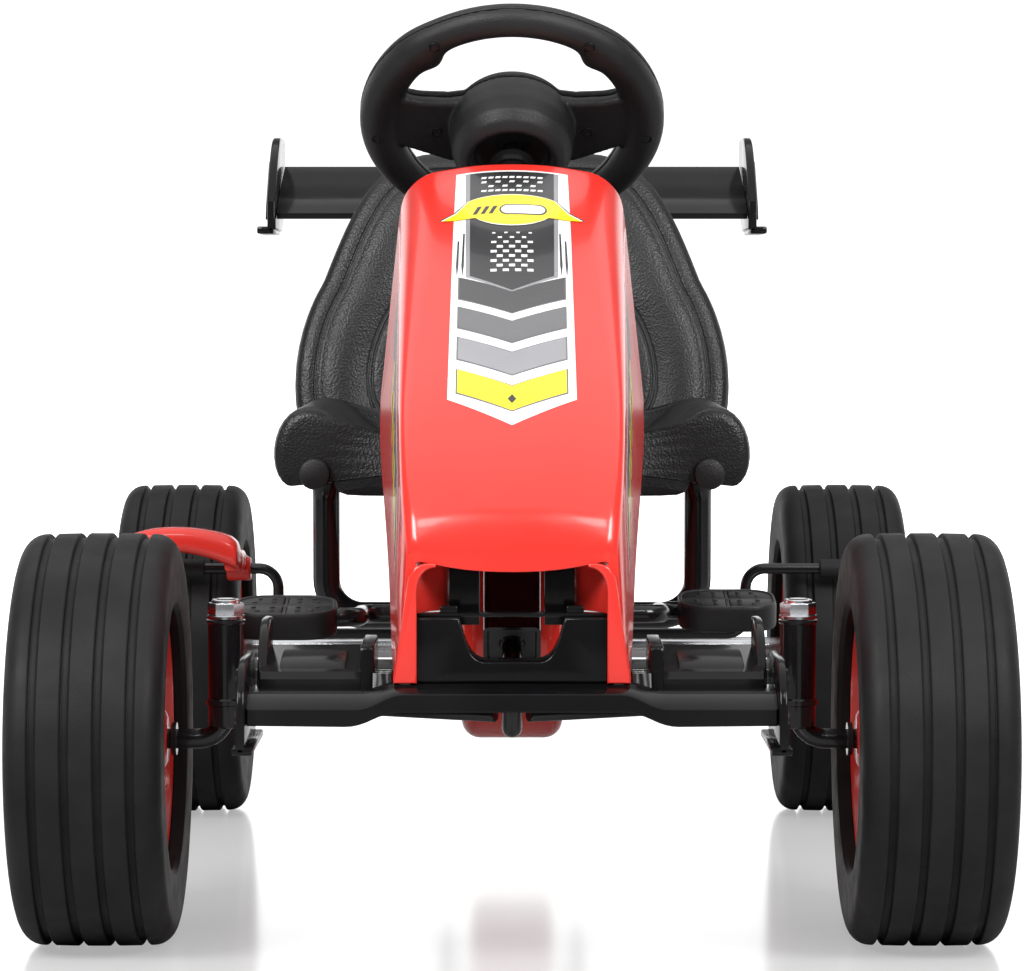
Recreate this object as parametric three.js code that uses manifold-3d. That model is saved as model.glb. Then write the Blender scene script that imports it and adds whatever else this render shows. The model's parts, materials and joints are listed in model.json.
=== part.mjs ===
// Child's pedal go-kart: steel tube frame, four foam wheels, chain drive, plastic nose, wings and seat.
// Millimetres. X runs across, Y from nose (-) to tail (+), Z up. The origin is on the ground, midway
// between the axles. Left and right are the driver's, who faces -Y, so the left side is +X.

import * as THREE from 'three';
import { mergeVertices } from 'three/addons/utils/BufferGeometryUtils.js';
import Module from 'manifold-3d';

const wasm = await Module();
wasm.setup();

// ---------------------------------------------------------------- driving dimensions
const WHEELBASE = 620;
const FRONT_AXLE_Y = -WHEELBASE / 2;
const REAR_AXLE_Y = WHEELBASE / 2;
const NOSE_Y = -485;
const TAIL_Y = 485;

const WHEEL_RADIUS = 125;
const TYRE_WIDTH = 92;
const WHEEL_X = 249;
const TYRE_BORE = 86;
const RIM_RADIUS = 85.5;
const HUB_RADIUS = 17;
const WHEEL_SEGMENTS = 20;

const KINGPIN_X = 173.5;
const KINGPIN_RADIUS = 6;
const SLEEVE_RADIUS = 11;
const SLEEVE_BOTTOM = 146;
const SLEEVE_TOP = 197.5;
const BEAM_Z = 164;
const BEAM_RADIUS = 9.5;

const RAIL_X = 50;
const RAIL_Z = 148;
const RAIL_RADIUS = 11;
const RAIL_START_Y = -292;
const RAIL_END_Y = 385;
const TAB_X = 106;
const TAB_HALF_WIDTH = 10;
const TAB_FRONT_Y = -388;

const CRANK_Y = -155;
const CRANK_Z = 188.5;
const CRANK_REACH = 65;
const CRANK_TILT = THREE.MathUtils.degToRad(2.6);
const CRANK_RADIUS = 6;
const CRANK_ARM_X = 97;
const PEDAL_X = 142.5;
const PEDAL_WIDTH = 65;
const PEDAL_LENGTH = 56;
const PEDAL_THICKNESS = 17;

const CHAIN_PITCH = 12.7;
const CHAINRING_TEETH = 28;
const SPROCKET_TEETH = 14;
const CHAIN_HEIGHT = 8;
const GUARD_FRONT_RADIUS = 80;
const GUARD_REAR_RADIUS = 52;
const GUARD_HALF_WIDTH = 32.5;

const AXLE_RADIUS = 8;
const AXLE_HALF_LENGTH = 288;
const BUSH_RADIUS = 13;

const WHEEL_HUB_Y = -75;
const WHEEL_HUB_Z = 512;
const COLUMN_ANGLE = THREE.MathUtils.degToRad(47.5);
const COLUMN_RADIUS = 8;
const STEERING_RING_RADIUS = 88.5;
const STEERING_TUBE_RADIUS = 13;
const HOUSING_SIZE = 34;
const HOUSING_TOP = -78;
const HOUSING_BOTTOM = -440;
const COLUMN_FOOT = -478;
const COLUMN_U_HEIGHT = 34;
const STEER_CRANK_REACH = 40;
const STEER_ARM_REACH = 59;

const SEAT_TUBE_X = 131;
const SEAT_TUBE_RADIUS = 9.5;
const SEAT_TUBE_TOP = 276;
const SEAT_TUBE_Y = 75;
const SEAT_FRONT_Y = -85;
const SEAT_HALF_WIDTH = 160;

const BRAKE_Y = 190;
const BRAKE_PIVOT_Z = 146;
const BRAKE_ROD_Z = 194;
const BRAKE_ROD_RADIUS = 4;
const BRAKE_ROD_END = 288;
const BRAKE_KNEE_X = 172;
const BRAKE_SLEEVE_START = 226;
const BRAKE_SLEEVE_RADIUS = 7;

const FIT_GAP = 0.4;
const SIDES = [{ name: 'left', sign: 1 }, { name: 'right', sign: -1 }];

// ---------------------------------------------------------------- materials
function material(color, roughness, metalness) {
  return new THREE.MeshStandardMaterial({ color, roughness, metalness });
}

const redPlastic = material(0xc8141c, 0.25, 0);
const blackPlastic = material(0x17181a, 0.35, 0);
const blackPaint = material(0x101113, 0.25, 0.3);
const grainPlastic = material(0x1d1e20, 0.6, 0);
const foam = material(0x202124, 0.85, 0);
const seatSkin = material(0x1a1b1d, 0.5, 0);
const zincSteel = material(0xb9bcc0, 0.3, 1);
const darkSteel = material(0x4a4c50, 0.45, 0.9);
const bushNylon = material(0x2a2b2e, 0.5, 0);

// ---------------------------------------------------------------- solids
// Joins shared corners, drops collapsed triangles and turns the faces outwards. The sum of the triple
// products is six times the signed volume, so a negative one means that the faces point inwards.
function facingOut(geometry) {
  const bare = geometry.clone();
  bare.deleteAttribute('normal');
  bare.deleteAttribute('uv');
  const merged = mergeVertices(bare, 1e-4);
  const place = merged.attributes.position;
  const index = merged.index.array;
  const corners = [new THREE.Vector3(), new THREE.Vector3(), new THREE.Vector3()];
  const kept = [];
  let volume = 0;
  for (let i = 0; i < index.length; i += 3) {
    const [a, b, c] = [index[i], index[i + 1], index[i + 2]];
    if (a === b || b === c || a === c) continue;
    corners[0].fromBufferAttribute(place, a);
    corners[1].fromBufferAttribute(place, b);
    corners[2].fromBufferAttribute(place, c);
    volume += corners[0].dot(corners[1].clone().cross(corners[2]));
    kept.push(a, b, c);
  }
  if (volume < 0) {
    kept.reverse();
  }
  merged.setIndex(kept);
  return merged;
}

function toSolid(geometry) {
  const closed = facingOut(geometry);
  return new wasm.Manifold(new wasm.Mesh({
    numProp: 3,
    vertProperties: new Float32Array(closed.attributes.position.array),
    triVerts: new Uint32Array(closed.index.array),
  }));
}

function toGeometry(solid) {
  const mesh = solid.getMesh();
  const geometry = new THREE.BufferGeometry();
  geometry.setAttribute('position', new THREE.BufferAttribute(mesh.vertProperties, 3));
  geometry.setIndex(new THREE.BufferAttribute(mesh.triVerts, 1));
  return geometry;
}

function join(...geometries) {
  return toGeometry(geometries.map(toSolid).reduce((whole, piece) => whole.add(piece)));
}

function cut(geometry, ...tools) {
  return toGeometry(tools.map(toSolid).reduce((whole, tool) => whole.subtract(tool), toSolid(geometry)));
}

function common(first, second) {
  return toGeometry(toSolid(first).intersect(toSolid(second)));
}

// ---------------------------------------------------------------- basic shapes
function box(x0, x1, y0, y1, z0, z1) {
  const geometry = new THREE.BoxGeometry(x1 - x0, y1 - y0, z1 - z0);
  return geometry.translate((x0 + x1) / 2, (y0 + y1) / 2, (z0 + z1) / 2);
}

// A round bar from x0 to x1 along X, centred on (y, z).
function barX(radius, x0, x1, y = 0, z = 0, sides = 12) {
  const geometry = new THREE.CylinderGeometry(radius, radius, x1 - x0, sides);
  return geometry.rotateZ(Math.PI / 2).translate((x0 + x1) / 2, y, z);
}

function barZ(radius, z0, z1, x = 0, y = 0, sides = 12) {
  const geometry = new THREE.CylinderGeometry(radius, radius, z1 - z0, sides);
  return geometry.rotateX(Math.PI / 2).translate(x, y, (z0 + z1) / 2);
}

// A ring turned about X from a closed profile of [x, radius] points.
function turnedX(profile, segments) {
  const points = [...profile, profile[0]].map(([x, radius]) => new THREE.Vector2(radius, x));
  return new THREE.LatheGeometry(points, segments).rotateZ(-Math.PI / 2);
}

// A ring turned about Z from a closed profile of [radius, z] points.
function turnedZ(profile, segments) {
  const points = [...profile, profile[0]].map(([radius, z]) => new THREE.Vector2(radius, z));
  return new THREE.LatheGeometry(points, segments).rotateX(Math.PI / 2);
}

function outline(points) {
  return new THREE.Shape(points.map(([a, b]) => new THREE.Vector2(a, b)));
}

// Extrudes a shape drawn in (Y, Z) along X, from x0 to x1; the bevel stays inside that length.
function plateX(shape, x0, x1, bevel = 0, curveSegments = 12) {
  const geometry = new THREE.ExtrudeGeometry(shape, {
    depth: x1 - x0 - 2 * bevel,
    bevelEnabled: bevel > 0,
    bevelThickness: bevel,
    bevelSize: bevel,
    bevelOffset: -bevel,
    bevelSegments: 1,
    curveSegments,
  });
  geometry.translate(0, 0, x0 + bevel);
  const axes = new THREE.Matrix4();
  axes.makeBasis(new THREE.Vector3(0, 1, 0), new THREE.Vector3(0, 0, 1), new THREE.Vector3(1, 0, 0));
  return geometry.applyMatrix4(axes);
}

// Extrudes a shape drawn in (X, Z) along Y, from y0 to y1.
function plateY(shape, y0, y1, bevel = 0, curveSegments = 8) {
  const geometry = new THREE.ExtrudeGeometry(shape, {
    depth: y1 - y0 - 2 * bevel,
    bevelEnabled: bevel > 0,
    bevelThickness: bevel,
    bevelSize: bevel,
    bevelOffset: -bevel,
    bevelSegments: 1,
    curveSegments,
  });
  return geometry.rotateX(Math.PI / 2).translate(0, y1 - bevel, 0);
}

// A path of straight runs joined by round bends; its points lie only where the path turns.
class BentPath extends THREE.Curve {
  constructor(corners, bendRadius, bendSteps) {
    super();
    const places = corners.map((corner) => new THREE.Vector3(...corner));
    this.points = [places[0]];
    for (let i = 1; i < places.length - 1; i++) {
      const before = places[i - 1].clone().sub(places[i]).normalize();
      const after = places[i + 1].clone().sub(places[i]).normalize();
      const halfAngle = before.angleTo(after) / 2;
      const reach = bendRadius / Math.tan(halfAngle);
      const start = places[i].clone().addScaledVector(before, reach);
      const end = places[i].clone().addScaledVector(after, reach);
      const inward = before.clone().add(after).normalize();
      const centre = places[i].clone().addScaledVector(inward, bendRadius / Math.sin(halfAngle));
      const spokeStart = start.sub(centre);
      const spokeEnd = end.sub(centre);
      const sweep = spokeStart.angleTo(spokeEnd);
      for (let step = 0; step <= bendSteps; step++) {
        const part = step / bendSteps;
        const spoke = spokeStart.clone().multiplyScalar(Math.sin((1 - part) * sweep));
        spoke.addScaledVector(spokeEnd, Math.sin(part * sweep)).divideScalar(Math.sin(sweep));
        this.points.push(spoke.add(centre));
      }
    }
    this.points.push(places[places.length - 1]);
  }

  get runs() {
    return this.points.length - 1;
  }

  getPoint(t) {
    const at = Math.min(Math.max(t, 0), 1) * this.runs;
    const low = Math.min(Math.floor(at + 1e-6), this.runs - 1);
    return this.points[low].clone().lerp(this.points[low + 1], at - low);
  }

  getPointAt(u) {
    return this.getPoint(u);
  }

  getTangentAt(u) {
    const at = Math.round(u * this.runs);
    const before = this.points[Math.max(at - 1, 0)];
    const after = this.points[Math.min(at + 1, this.runs)];
    return after.clone().sub(before).normalize();
  }
}

function tube(corners, radius, bendRadius = 1, sides = 10, bendSteps = 4) {
  const path = new BentPath(corners, bendRadius, bendSteps);
  const ring = new THREE.Shape().absarc(0, 0, radius, 0, 2 * Math.PI);
  return new THREE.ExtrudeGeometry(ring, {
    steps: path.runs,
    extrudePath: path,
    curveSegments: sides / 2,
  });
}

// A closed sheet between two matching grids of points, given as rows of THREE.Vector3.
function sheet(outer, inner) {
  const rows = outer.length;
  const columns = outer[0].length;
  const vertices = [...outer.flat(), ...inner.flat()].flatMap((point) => point.toArray());
  const outerAt = (row, column) => row * columns + column;
  const innerAt = (row, column) => (rows + row) * columns + column;
  const index = [];
  const quad = (a, b, c, d) => index.push(a, b, c, a, c, d);
  for (let r = 0; r < rows - 1; r++) {
    for (let c = 0; c < columns - 1; c++) {
      quad(outerAt(r, c), outerAt(r, c + 1), outerAt(r + 1, c + 1), outerAt(r + 1, c));
      quad(innerAt(r, c), innerAt(r + 1, c), innerAt(r + 1, c + 1), innerAt(r, c + 1));
    }
    quad(outerAt(r, 0), outerAt(r + 1, 0), innerAt(r + 1, 0), innerAt(r, 0));
    quad(outerAt(r, columns - 1), innerAt(r, columns - 1), innerAt(r + 1, columns - 1),
      outerAt(r + 1, columns - 1));
  }
  for (let c = 0; c < columns - 1; c++) {
    quad(outerAt(0, c), innerAt(0, c), innerAt(0, c + 1), outerAt(0, c + 1));
    quad(outerAt(rows - 1, c), outerAt(rows - 1, c + 1), innerAt(rows - 1, c + 1), innerAt(rows - 1, c));
  }
  const geometry = new THREE.BufferGeometry();
  geometry.setAttribute('position', new THREE.Float32BufferAttribute(vertices, 3));
  geometry.setIndex(index);
  return geometry;
}

// ---------------------------------------------------------------- the scene graph
const kart = new THREE.Group();

function add(name, geometry, finish, parent = kart) {
  const mesh = new THREE.Mesh(facingOut(geometry), finish);
  mesh.name = name;
  parent.add(mesh);
  return mesh;
}

// One copy on each side; the right one is the mirror image of the left one.
function addPair(name, geometry, finish, parent = kart) {
  for (const side of SIDES) {
    const mesh = add(`${name}_${side.name}`, geometry, finish, parent);
    mesh.scale.x = side.sign;
  }
}

// The steering column's own frame: its Z runs up the column to the steering wheel's centre.
const columnFrame = new THREE.Group();
columnFrame.position.set(0, WHEEL_HUB_Y, WHEEL_HUB_Z);
columnFrame.rotation.x = COLUMN_ANGLE - Math.PI / 2;
kart.add(columnFrame);

// Height of the column's axis above the ground at a given Y.
function columnAxisZ(y) {
  return WHEEL_HUB_Z + (y - WHEEL_HUB_Y) * Math.tan(COLUMN_ANGLE);
}

// ---------------------------------------------------------------- frame
function crankBracket(x) {
  const riser = box(x - 3, x + 3, CRANK_Y - 20, CRANK_Y + 20, RAIL_Z, CRANK_Z);
  const shell = barX(BUSH_RADIUS + 4, x - 10, x + 10, CRANK_Y, CRANK_Z);
  return join(riser, shell);
}

function columnGusset() {
  const underside = (y) => columnAxisZ(y) - (HOUSING_SIZE / 2 + FIT_GAP) / Math.cos(COLUMN_ANGLE);
  const [front, rear] = [FRONT_AXLE_Y - 28, FRONT_AXLE_Y + 15];
  return plateX(outline([
    [front, BEAM_Z],
    [rear, BEAM_Z],
    [rear, underside(rear)],
    [front, underside(front)],
  ]), -12, 12);
}

function mainFrame() {
  const beamEnd = KINGPIN_X - 3;
  const parts = [
    barX(BEAM_RADIUS, -beamEnd, beamEnd, FRONT_AXLE_Y, BEAM_Z, 12),
    barX(BEAM_RADIUS, -RAIL_X, RAIL_X, RAIL_END_Y, RAIL_Z, 12),
    columnGusset(),
  ];
  const bores = [];
  for (const { sign } of SIDES) {
    const x = sign * RAIL_X;
    const tabX = sign * TAB_X;
    parts.push(
      tube([[x, RAIL_START_Y, RAIL_Z], [x, RAIL_END_Y + RAIL_RADIUS, RAIL_Z]], RAIL_RADIUS, 1, 12),
      box(x - 4, x + 4, FRONT_AXLE_Y, RAIL_START_Y + 30, RAIL_Z + 3, BEAM_Z + 2),
      barZ(SLEEVE_RADIUS, SLEEVE_BOTTOM, SLEEVE_TOP, sign * KINGPIN_X, FRONT_AXLE_Y),
      crankBracket(x),
      box(x - 3, x + 3, REAR_AXLE_Y - 22, REAR_AXLE_Y + 22, WHEEL_RADIUS - 20, RAIL_Z),
      box(tabX - TAB_HALF_WIDTH, tabX + TAB_HALF_WIDTH, TAB_FRONT_Y, FRONT_AXLE_Y, BEAM_Z, BEAM_Z + 4),
    );
    bores.push(
      barZ(KINGPIN_RADIUS + FIT_GAP, SLEEVE_BOTTOM - 1, SLEEVE_TOP + 1, sign * KINGPIN_X, FRONT_AXLE_Y),
      barX(BUSH_RADIUS + FIT_GAP, x - 16, x + 16, CRANK_Y, CRANK_Z),
      barX(BUSH_RADIUS + FIT_GAP, x - 16, x + 16, REAR_AXLE_Y, WHEEL_RADIUS),
      barX(BRAKE_ROD_RADIUS + FIT_GAP, x - 16, x + 16, BRAKE_Y, BRAKE_PIVOT_Z, 12),
    );
  }
  return cut(join(...parts), ...bores);
}

function seatTube() {
  const z = RAIL_Z + RAIL_RADIUS + SEAT_TUBE_RADIUS + FIT_GAP;
  return tube([
    [RAIL_X - 12, SEAT_TUBE_Y, z],
    [SEAT_TUBE_X, SEAT_TUBE_Y, z],
    [SEAT_TUBE_X, SEAT_TUBE_Y, SEAT_TUBE_TOP],
    [SEAT_TUBE_X, SEAT_FRONT_Y, SEAT_TUBE_TOP],
  ], SEAT_TUBE_RADIUS, 26, 12, 5);
}

function seatTubeCap() {
  const face = SEAT_FRONT_Y - FIT_GAP;
  const cap = new THREE.CylinderGeometry(10.5, 9, 6, 16).rotateX(Math.PI);
  return cap.translate(SEAT_TUBE_X, face - 3, SEAT_TUBE_TOP);
}

add('main_frame', mainFrame(), blackPaint);
addPair('seat_tube', seatTube(), blackPaint);
addPair('seat_tube_cap', seatTubeCap(), blackPlastic);

// ---------------------------------------------------------------- steering
function columnHousing() {
  const half = HOUSING_SIZE / 2;
  const hollow = half - 2.5;
  const body = box(-half, half, -half, half, HOUSING_BOTTOM, HOUSING_TOP);
  return cut(body, box(-hollow, hollow, -hollow, hollow, HOUSING_BOTTOM - 1, HOUSING_TOP + 1));
}

function columnBush(top) {
  const half = HOUSING_SIZE / 2 - 2.5 - FIT_GAP;
  return cut(box(-half, half, -half, half, top - 18, top), barZ(COLUMN_RADIUS + FIT_GAP, top - 19, top + 1));
}

// The rod's lower end is bent back up into a U that carries the tie rods.
function steeringColumn() {
  const straight = barZ(COLUMN_RADIUS, -440, -6);
  const lower = tube([
    [0, 0, -436],
    [0, 0, COLUMN_FOOT],
    [0, STEER_CRANK_REACH, COLUMN_FOOT],
    [0, STEER_CRANK_REACH, COLUMN_FOOT + COLUMN_U_HEIGHT],
  ], CRANK_RADIUS, 14, 10, 4);
  return join(straight, lower);
}

// The whole moulded wheel, before it is parted into its two shells.
function steeringWheelBody() {
  const ring = new THREE.TorusGeometry(STEERING_RING_RADIUS, STEERING_TUBE_RADIUS, 8, 32);
  const spokes = box(-STEERING_RING_RADIUS, STEERING_RING_RADIUS, -27, 27, -7, 7);
  const boss = new THREE.CylinderGeometry(34, 42, 44, 20).rotateX(-Math.PI / 2).translate(0, 0, -20);
  const dome = new THREE.CylinderGeometry(30, 40, 16, 20).rotateX(Math.PI / 2).translate(0, 0, 8);
  const bore = barZ(COLUMN_RADIUS + FIT_GAP, -60, -5);
  const recess = barZ(26, -60, -32, 0, 0, 20);
  return cut(join(ring, spokes, boss, dome), bore, recess);
}

function steeringShell(body, z0, z1) {
  return common(body, box(-120, 120, -120, 120, z0, z1));
}

function collar() {
  return turnedZ([[COLUMN_RADIUS + FIT_GAP, -62], [13, -62], [15, -43], [COLUMN_RADIUS + FIT_GAP, -43]], 12);
}

function hubCap() {
  return turnedZ([[0, 16.4], [26, 16.4], [24, 20], [0, 23.5]], 16);
}

const wheelBody = steeringWheelBody();
add('column_housing', columnHousing(), blackPaint, columnFrame);
add('column_bush_upper', columnBush(HOUSING_TOP - 1), bushNylon, columnFrame);
add('column_bush_lower', columnBush(HOUSING_BOTTOM + 19), bushNylon, columnFrame);
add('steering_column', steeringColumn(), blackPaint, columnFrame);
add('steering_wheel_upper', steeringShell(wheelBody, 0.15, 60), grainPlastic, columnFrame);
add('steering_wheel_lower', steeringShell(wheelBody, -60, -0.15), grainPlastic, columnFrame);
add('steering_hub_cap', hubCap(), grainPlastic, columnFrame);
add('column_collar', collar(), blackPlastic, columnFrame);

function spindle() {
  const rod = tube([
    [0, 0, SLEEVE_TOP + 13],
    [0, 0, WHEEL_RADIUS],
    [AXLE_HALF_LENGTH - KINGPIN_X, 0, WHEEL_RADIUS],
  ], KINGPIN_RADIUS, 17, 12, 5);
  const armBottom = SLEEVE_BOTTOM - 13;
  const arm = box(-8, 8, -5, STEER_ARM_REACH + 8, armBottom, armBottom + 4);
  const pin = barZ(4, armBottom + 1, armBottom + 14, 0, STEER_ARM_REACH, 12);
  const shoulder = barZ(SLEEVE_RADIUS, armBottom, SLEEVE_BOTTOM - FIT_GAP, 0, 0);
  return join(rod, arm, pin, shoulder);
}

function kingpinNut() {
  const nut = new THREE.CylinderGeometry(11, 11, 10, 6).rotateX(Math.PI / 2);
  nut.translate(0, 0, SLEEVE_TOP + 7.5);
  const washer = barZ(11.5, SLEEVE_TOP + 0.5, SLEEVE_TOP + 3);
  return cut(join(nut, washer), barZ(KINGPIN_RADIUS + FIT_GAP, SLEEVE_TOP, SLEEVE_TOP + 20));
}

// The outer eye turns on the pin of the spindle's rearward arm; the inner end stops short of the U.
function tieRod() {
  const z = SLEEVE_BOTTOM - 4.5;
  const y = FRONT_AXLE_Y + STEER_ARM_REACH;
  const rod = tube([[KINGPIN_X - 6, y - 4, z], [12, y - 100, z + 2]], 4, 1, 8);
  const eye = barZ(9, z - 3, z + 3, KINGPIN_X, y, 12);
  const bore = barZ(4 + FIT_GAP, z - 10, z + 10, KINGPIN_X, y, 12);
  return cut(join(rod, eye), bore);
}

function placedAtKingpin(name, geometry, finish) {
  for (const side of SIDES) {
    const mesh = add(`${name}_${side.name}`, geometry, finish);
    mesh.scale.x = side.sign;
    mesh.position.set(side.sign * KINGPIN_X, FRONT_AXLE_Y, 0);
  }
}

placedAtKingpin('spindle', spindle(), blackPaint);
placedAtKingpin('kingpin_nut', kingpinNut(), zincSteel);
addPair('tie_rod', tieRod(), blackPaint);

// ---------------------------------------------------------------- wheels
// Half profiles run from the inner side (-x) to the outer side (+x) of the left wheel.
function tyre() {
  const half = TYRE_WIDTH / 2;
  const shoulder = 13;
  const lip = 80;
  const crown = [];
  for (const degrees of [0, 45, 90]) {
    const angle = THREE.MathUtils.degToRad(degrees);
    crown.push([half - shoulder + shoulder * Math.cos(angle),
      WHEEL_RADIUS - shoulder + shoulder * Math.sin(angle)]);
  }
  const outer = [[half - 9, TYRE_BORE], [half - 9, lip], [half, lip + 3], ...crown];
  const inner = [...outer].reverse().map(([x, radius]) => [-x, radius]);
  return turnedX([...outer, ...inner], WHEEL_SEGMENTS);
}

function rim(boreRadius) {
  return turnedX([
    [-40, boreRadius], [-40, HUB_RADIUS], [14, HUB_RADIUS], [17, 76], [-36, 80], [-36, RIM_RADIUS],
    [36, RIM_RADIUS], [36, 80], [24, 76], [38, HUB_RADIUS], [38, boreRadius],
  ], WHEEL_SEGMENTS);
}

function wheelCap() {
  return turnedX([[38.4, 11], [38.4, 24], [42, 23], [46, 0], [43.5, 0], [43, 11]], 12);
}

function addWheels(row, axleY, boreRadius) {
  const parts = {
    tyre: [tyre(), foam],
    rim: [rim(boreRadius), redPlastic],
    wheel_cap: [wheelCap(), blackPlastic],
  };
  for (const [part, [geometry, finish]] of Object.entries(parts)) {
    for (const side of SIDES) {
      const mesh = add(`${part}_${row}_${side.name}`, geometry, finish);
      mesh.scale.x = side.sign;
      mesh.position.set(side.sign * WHEEL_X, axleY, WHEEL_RADIUS);
    }
  }
}

addWheels('front', FRONT_AXLE_Y, KINGPIN_RADIUS + FIT_GAP);
addWheels('rear', REAR_AXLE_Y, AXLE_RADIUS + FIT_GAP);

// ---------------------------------------------------------------- drive
function pitchRadius(teeth) {
  return CHAIN_PITCH / 2 / Math.sin(Math.PI / teeth);
}

function toothedDisc(teeth, bore) {
  const tip = pitchRadius(teeth) - 1;
  const root = tip - 4;
  const points = [];
  for (let tooth = 0; tooth < teeth; tooth++) {
    for (const [share, radius] of [[0, root], [0.5, tip]]) {
      const angle = 2 * Math.PI * (tooth + share) / teeth;
      points.push([radius * Math.cos(angle), radius * Math.sin(angle)]);
    }
  }
  const shape = outline(points);
  shape.holes.push(new THREE.Path().absarc(0, 0, bore, 0, 2 * Math.PI));
  return plateX(shape, -1.5, 1.5, 0, 6);
}

// The outline of a belt around the crank and the rear axle, drawn in (Y, Z).
function beltOutline(frontRadius, rearRadius, Kind = THREE.Shape) {
  const along = new THREE.Vector2(REAR_AXLE_Y - CRANK_Y, WHEEL_RADIUS - CRANK_Z);
  const lean = Math.asin((frontRadius - rearRadius) / along.length());
  const heading = along.angle();
  const upper = heading + Math.PI / 2 - lean;
  const lower = heading - Math.PI / 2 + lean;
  const belt = new Kind();
  belt.absarc(CRANK_Y, CRANK_Z, frontRadius, upper, lower, false);
  belt.absarc(REAR_AXLE_Y, WHEEL_RADIUS, rearRadius, lower, upper, false);
  return belt;
}

function chain() {
  const [front, rear] = [pitchRadius(CHAINRING_TEETH), pitchRadius(SPROCKET_TEETH)];
  const shape = beltOutline(front + CHAIN_HEIGHT - 0.5, rear + CHAIN_HEIGHT - 0.5);
  shape.holes.push(beltOutline(front - 0.5, rear - 0.5, THREE.Path));
  return plateX(shape, -3, 3, 0, 6);
}

function chainGuard(x0, x1) {
  const wall = 2.5;
  const width = GUARD_HALF_WIDTH;
  const outer = plateX(beltOutline(GUARD_FRONT_RADIUS, GUARD_REAR_RADIUS), -width, width, 12, 6);
  const inner = plateX(beltOutline(GUARD_FRONT_RADIUS - wall, GUARD_REAR_RADIUS - wall),
    wall - width, width - wall, 12, 6);
  return cut(
    common(outer, box(x0, x1, -300, 400, 0, 300)),
    inner,
    barX(CRANK_RADIUS + 3, -40, 40, CRANK_Y, CRANK_Z, 12),
    barX(AXLE_RADIUS + 3, -40, 40, REAR_AXLE_Y, WHEEL_RADIUS, 12),
    barX(BRAKE_ROD_RADIUS + 2, -40, 40, BRAKE_Y, BRAKE_PIVOT_Z, 12),
  );
}

// One bent bar: pedal pin, arm, axle, arm, pedal pin. The right arm points forward.
function crank() {
  const y = CRANK_REACH * Math.cos(CRANK_TILT);
  const z = CRANK_REACH * Math.sin(CRANK_TILT);
  const pinEnd = PEDAL_X + PEDAL_WIDTH / 2 - 3;
  return tube([
    [-pinEnd, -y, z],
    [-CRANK_ARM_X, -y, z],
    [-CRANK_ARM_X, 0, 0],
    [CRANK_ARM_X, 0, 0],
    [CRANK_ARM_X, y, -z],
    [pinEnd, y, -z],
  ], CRANK_RADIUS, 13, 10, 4);
}

function pedal() {
  const corner = 20;
  const [halfWidth, halfLength] = [PEDAL_WIDTH / 2, PEDAL_LENGTH / 2];
  const shape = new THREE.Shape();
  shape.absarc(halfWidth - corner, halfLength - corner, corner, 0, Math.PI / 2);
  shape.absarc(corner - halfWidth, halfLength - corner, corner, Math.PI / 2, Math.PI);
  shape.absarc(corner - halfWidth, corner - halfLength, corner, Math.PI, Math.PI * 1.5);
  shape.absarc(halfWidth - corner, corner - halfLength, corner, Math.PI * 1.5, Math.PI * 2);
  const plate = new THREE.ExtrudeGeometry(shape, {
    depth: PEDAL_THICKNESS - 4,
    bevelThickness: 2,
    bevelSize: 2,
    bevelOffset: -2,
    bevelSegments: 1,
    curveSegments: 3,
  });
  plate.translate(0, 0, 2 - PEDAL_THICKNESS / 2);
  return cut(plate, barX(CRANK_RADIUS + FIT_GAP, -50, 50, 0, 0, 12));
}

function bush(boreRadius, y, z) {
  const [x0, x1] = [RAIL_X - 8, RAIL_X + 8];
  const ring = turnedX([[x0, boreRadius], [x0, BUSH_RADIUS], [x1, BUSH_RADIUS], [x1, boreRadius]], 12);
  return ring.translate(0, y, z);
}

add('pedal_crank', crank(), darkSteel).position.set(0, CRANK_Y, CRANK_Z);
add('chainring', toothedDisc(CHAINRING_TEETH, CRANK_RADIUS + FIT_GAP), darkSteel)
  .position.set(0, CRANK_Y, CRANK_Z);
for (const side of SIDES) {
  const reach = side.sign * CRANK_REACH;
  const mesh = add(`pedal_${side.name}`, pedal(), blackPlastic);
  mesh.position.set(side.sign * PEDAL_X, CRANK_Y + reach * Math.cos(CRANK_TILT),
    CRANK_Z - reach * Math.sin(CRANK_TILT));
  mesh.rotation.x = THREE.MathUtils.degToRad(8);
}
addPair('crank_bush', bush(CRANK_RADIUS + FIT_GAP, CRANK_Y, CRANK_Z), bushNylon);
addPair('axle_bush', bush(AXLE_RADIUS + FIT_GAP, REAR_AXLE_Y, WHEEL_RADIUS), bushNylon);
add('chain', chain(), darkSteel);
add('chain_guard_left', chainGuard(0.15, 60), redPlastic);
add('chain_guard_right', chainGuard(-60, -0.15), redPlastic);
add('rear_axle', barX(AXLE_RADIUS, -AXLE_HALF_LENGTH, AXLE_HALF_LENGTH), zincSteel)
  .position.set(0, REAR_AXLE_Y, WHEEL_RADIUS);
add('rear_sprocket', toothedDisc(SPROCKET_TEETH, AXLE_RADIUS + FIT_GAP), darkSteel)
  .position.set(0, REAR_AXLE_Y, WHEEL_RADIUS);

// ---------------------------------------------------------------- brake
function brakeBail() {
  return tube([
    [-BRAKE_ROD_END, BRAKE_Y, BRAKE_ROD_Z],
    [-BRAKE_KNEE_X, BRAKE_Y, BRAKE_ROD_Z],
    [-BRAKE_KNEE_X, BRAKE_Y, BRAKE_PIVOT_Z],
    [BRAKE_KNEE_X, BRAKE_Y, BRAKE_PIVOT_Z],
    [BRAKE_KNEE_X, BRAKE_Y, BRAKE_ROD_Z],
    [BRAKE_ROD_END, BRAKE_Y, BRAKE_ROD_Z],
  ], BRAKE_ROD_RADIUS, 14, 8, 3);
}

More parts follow.
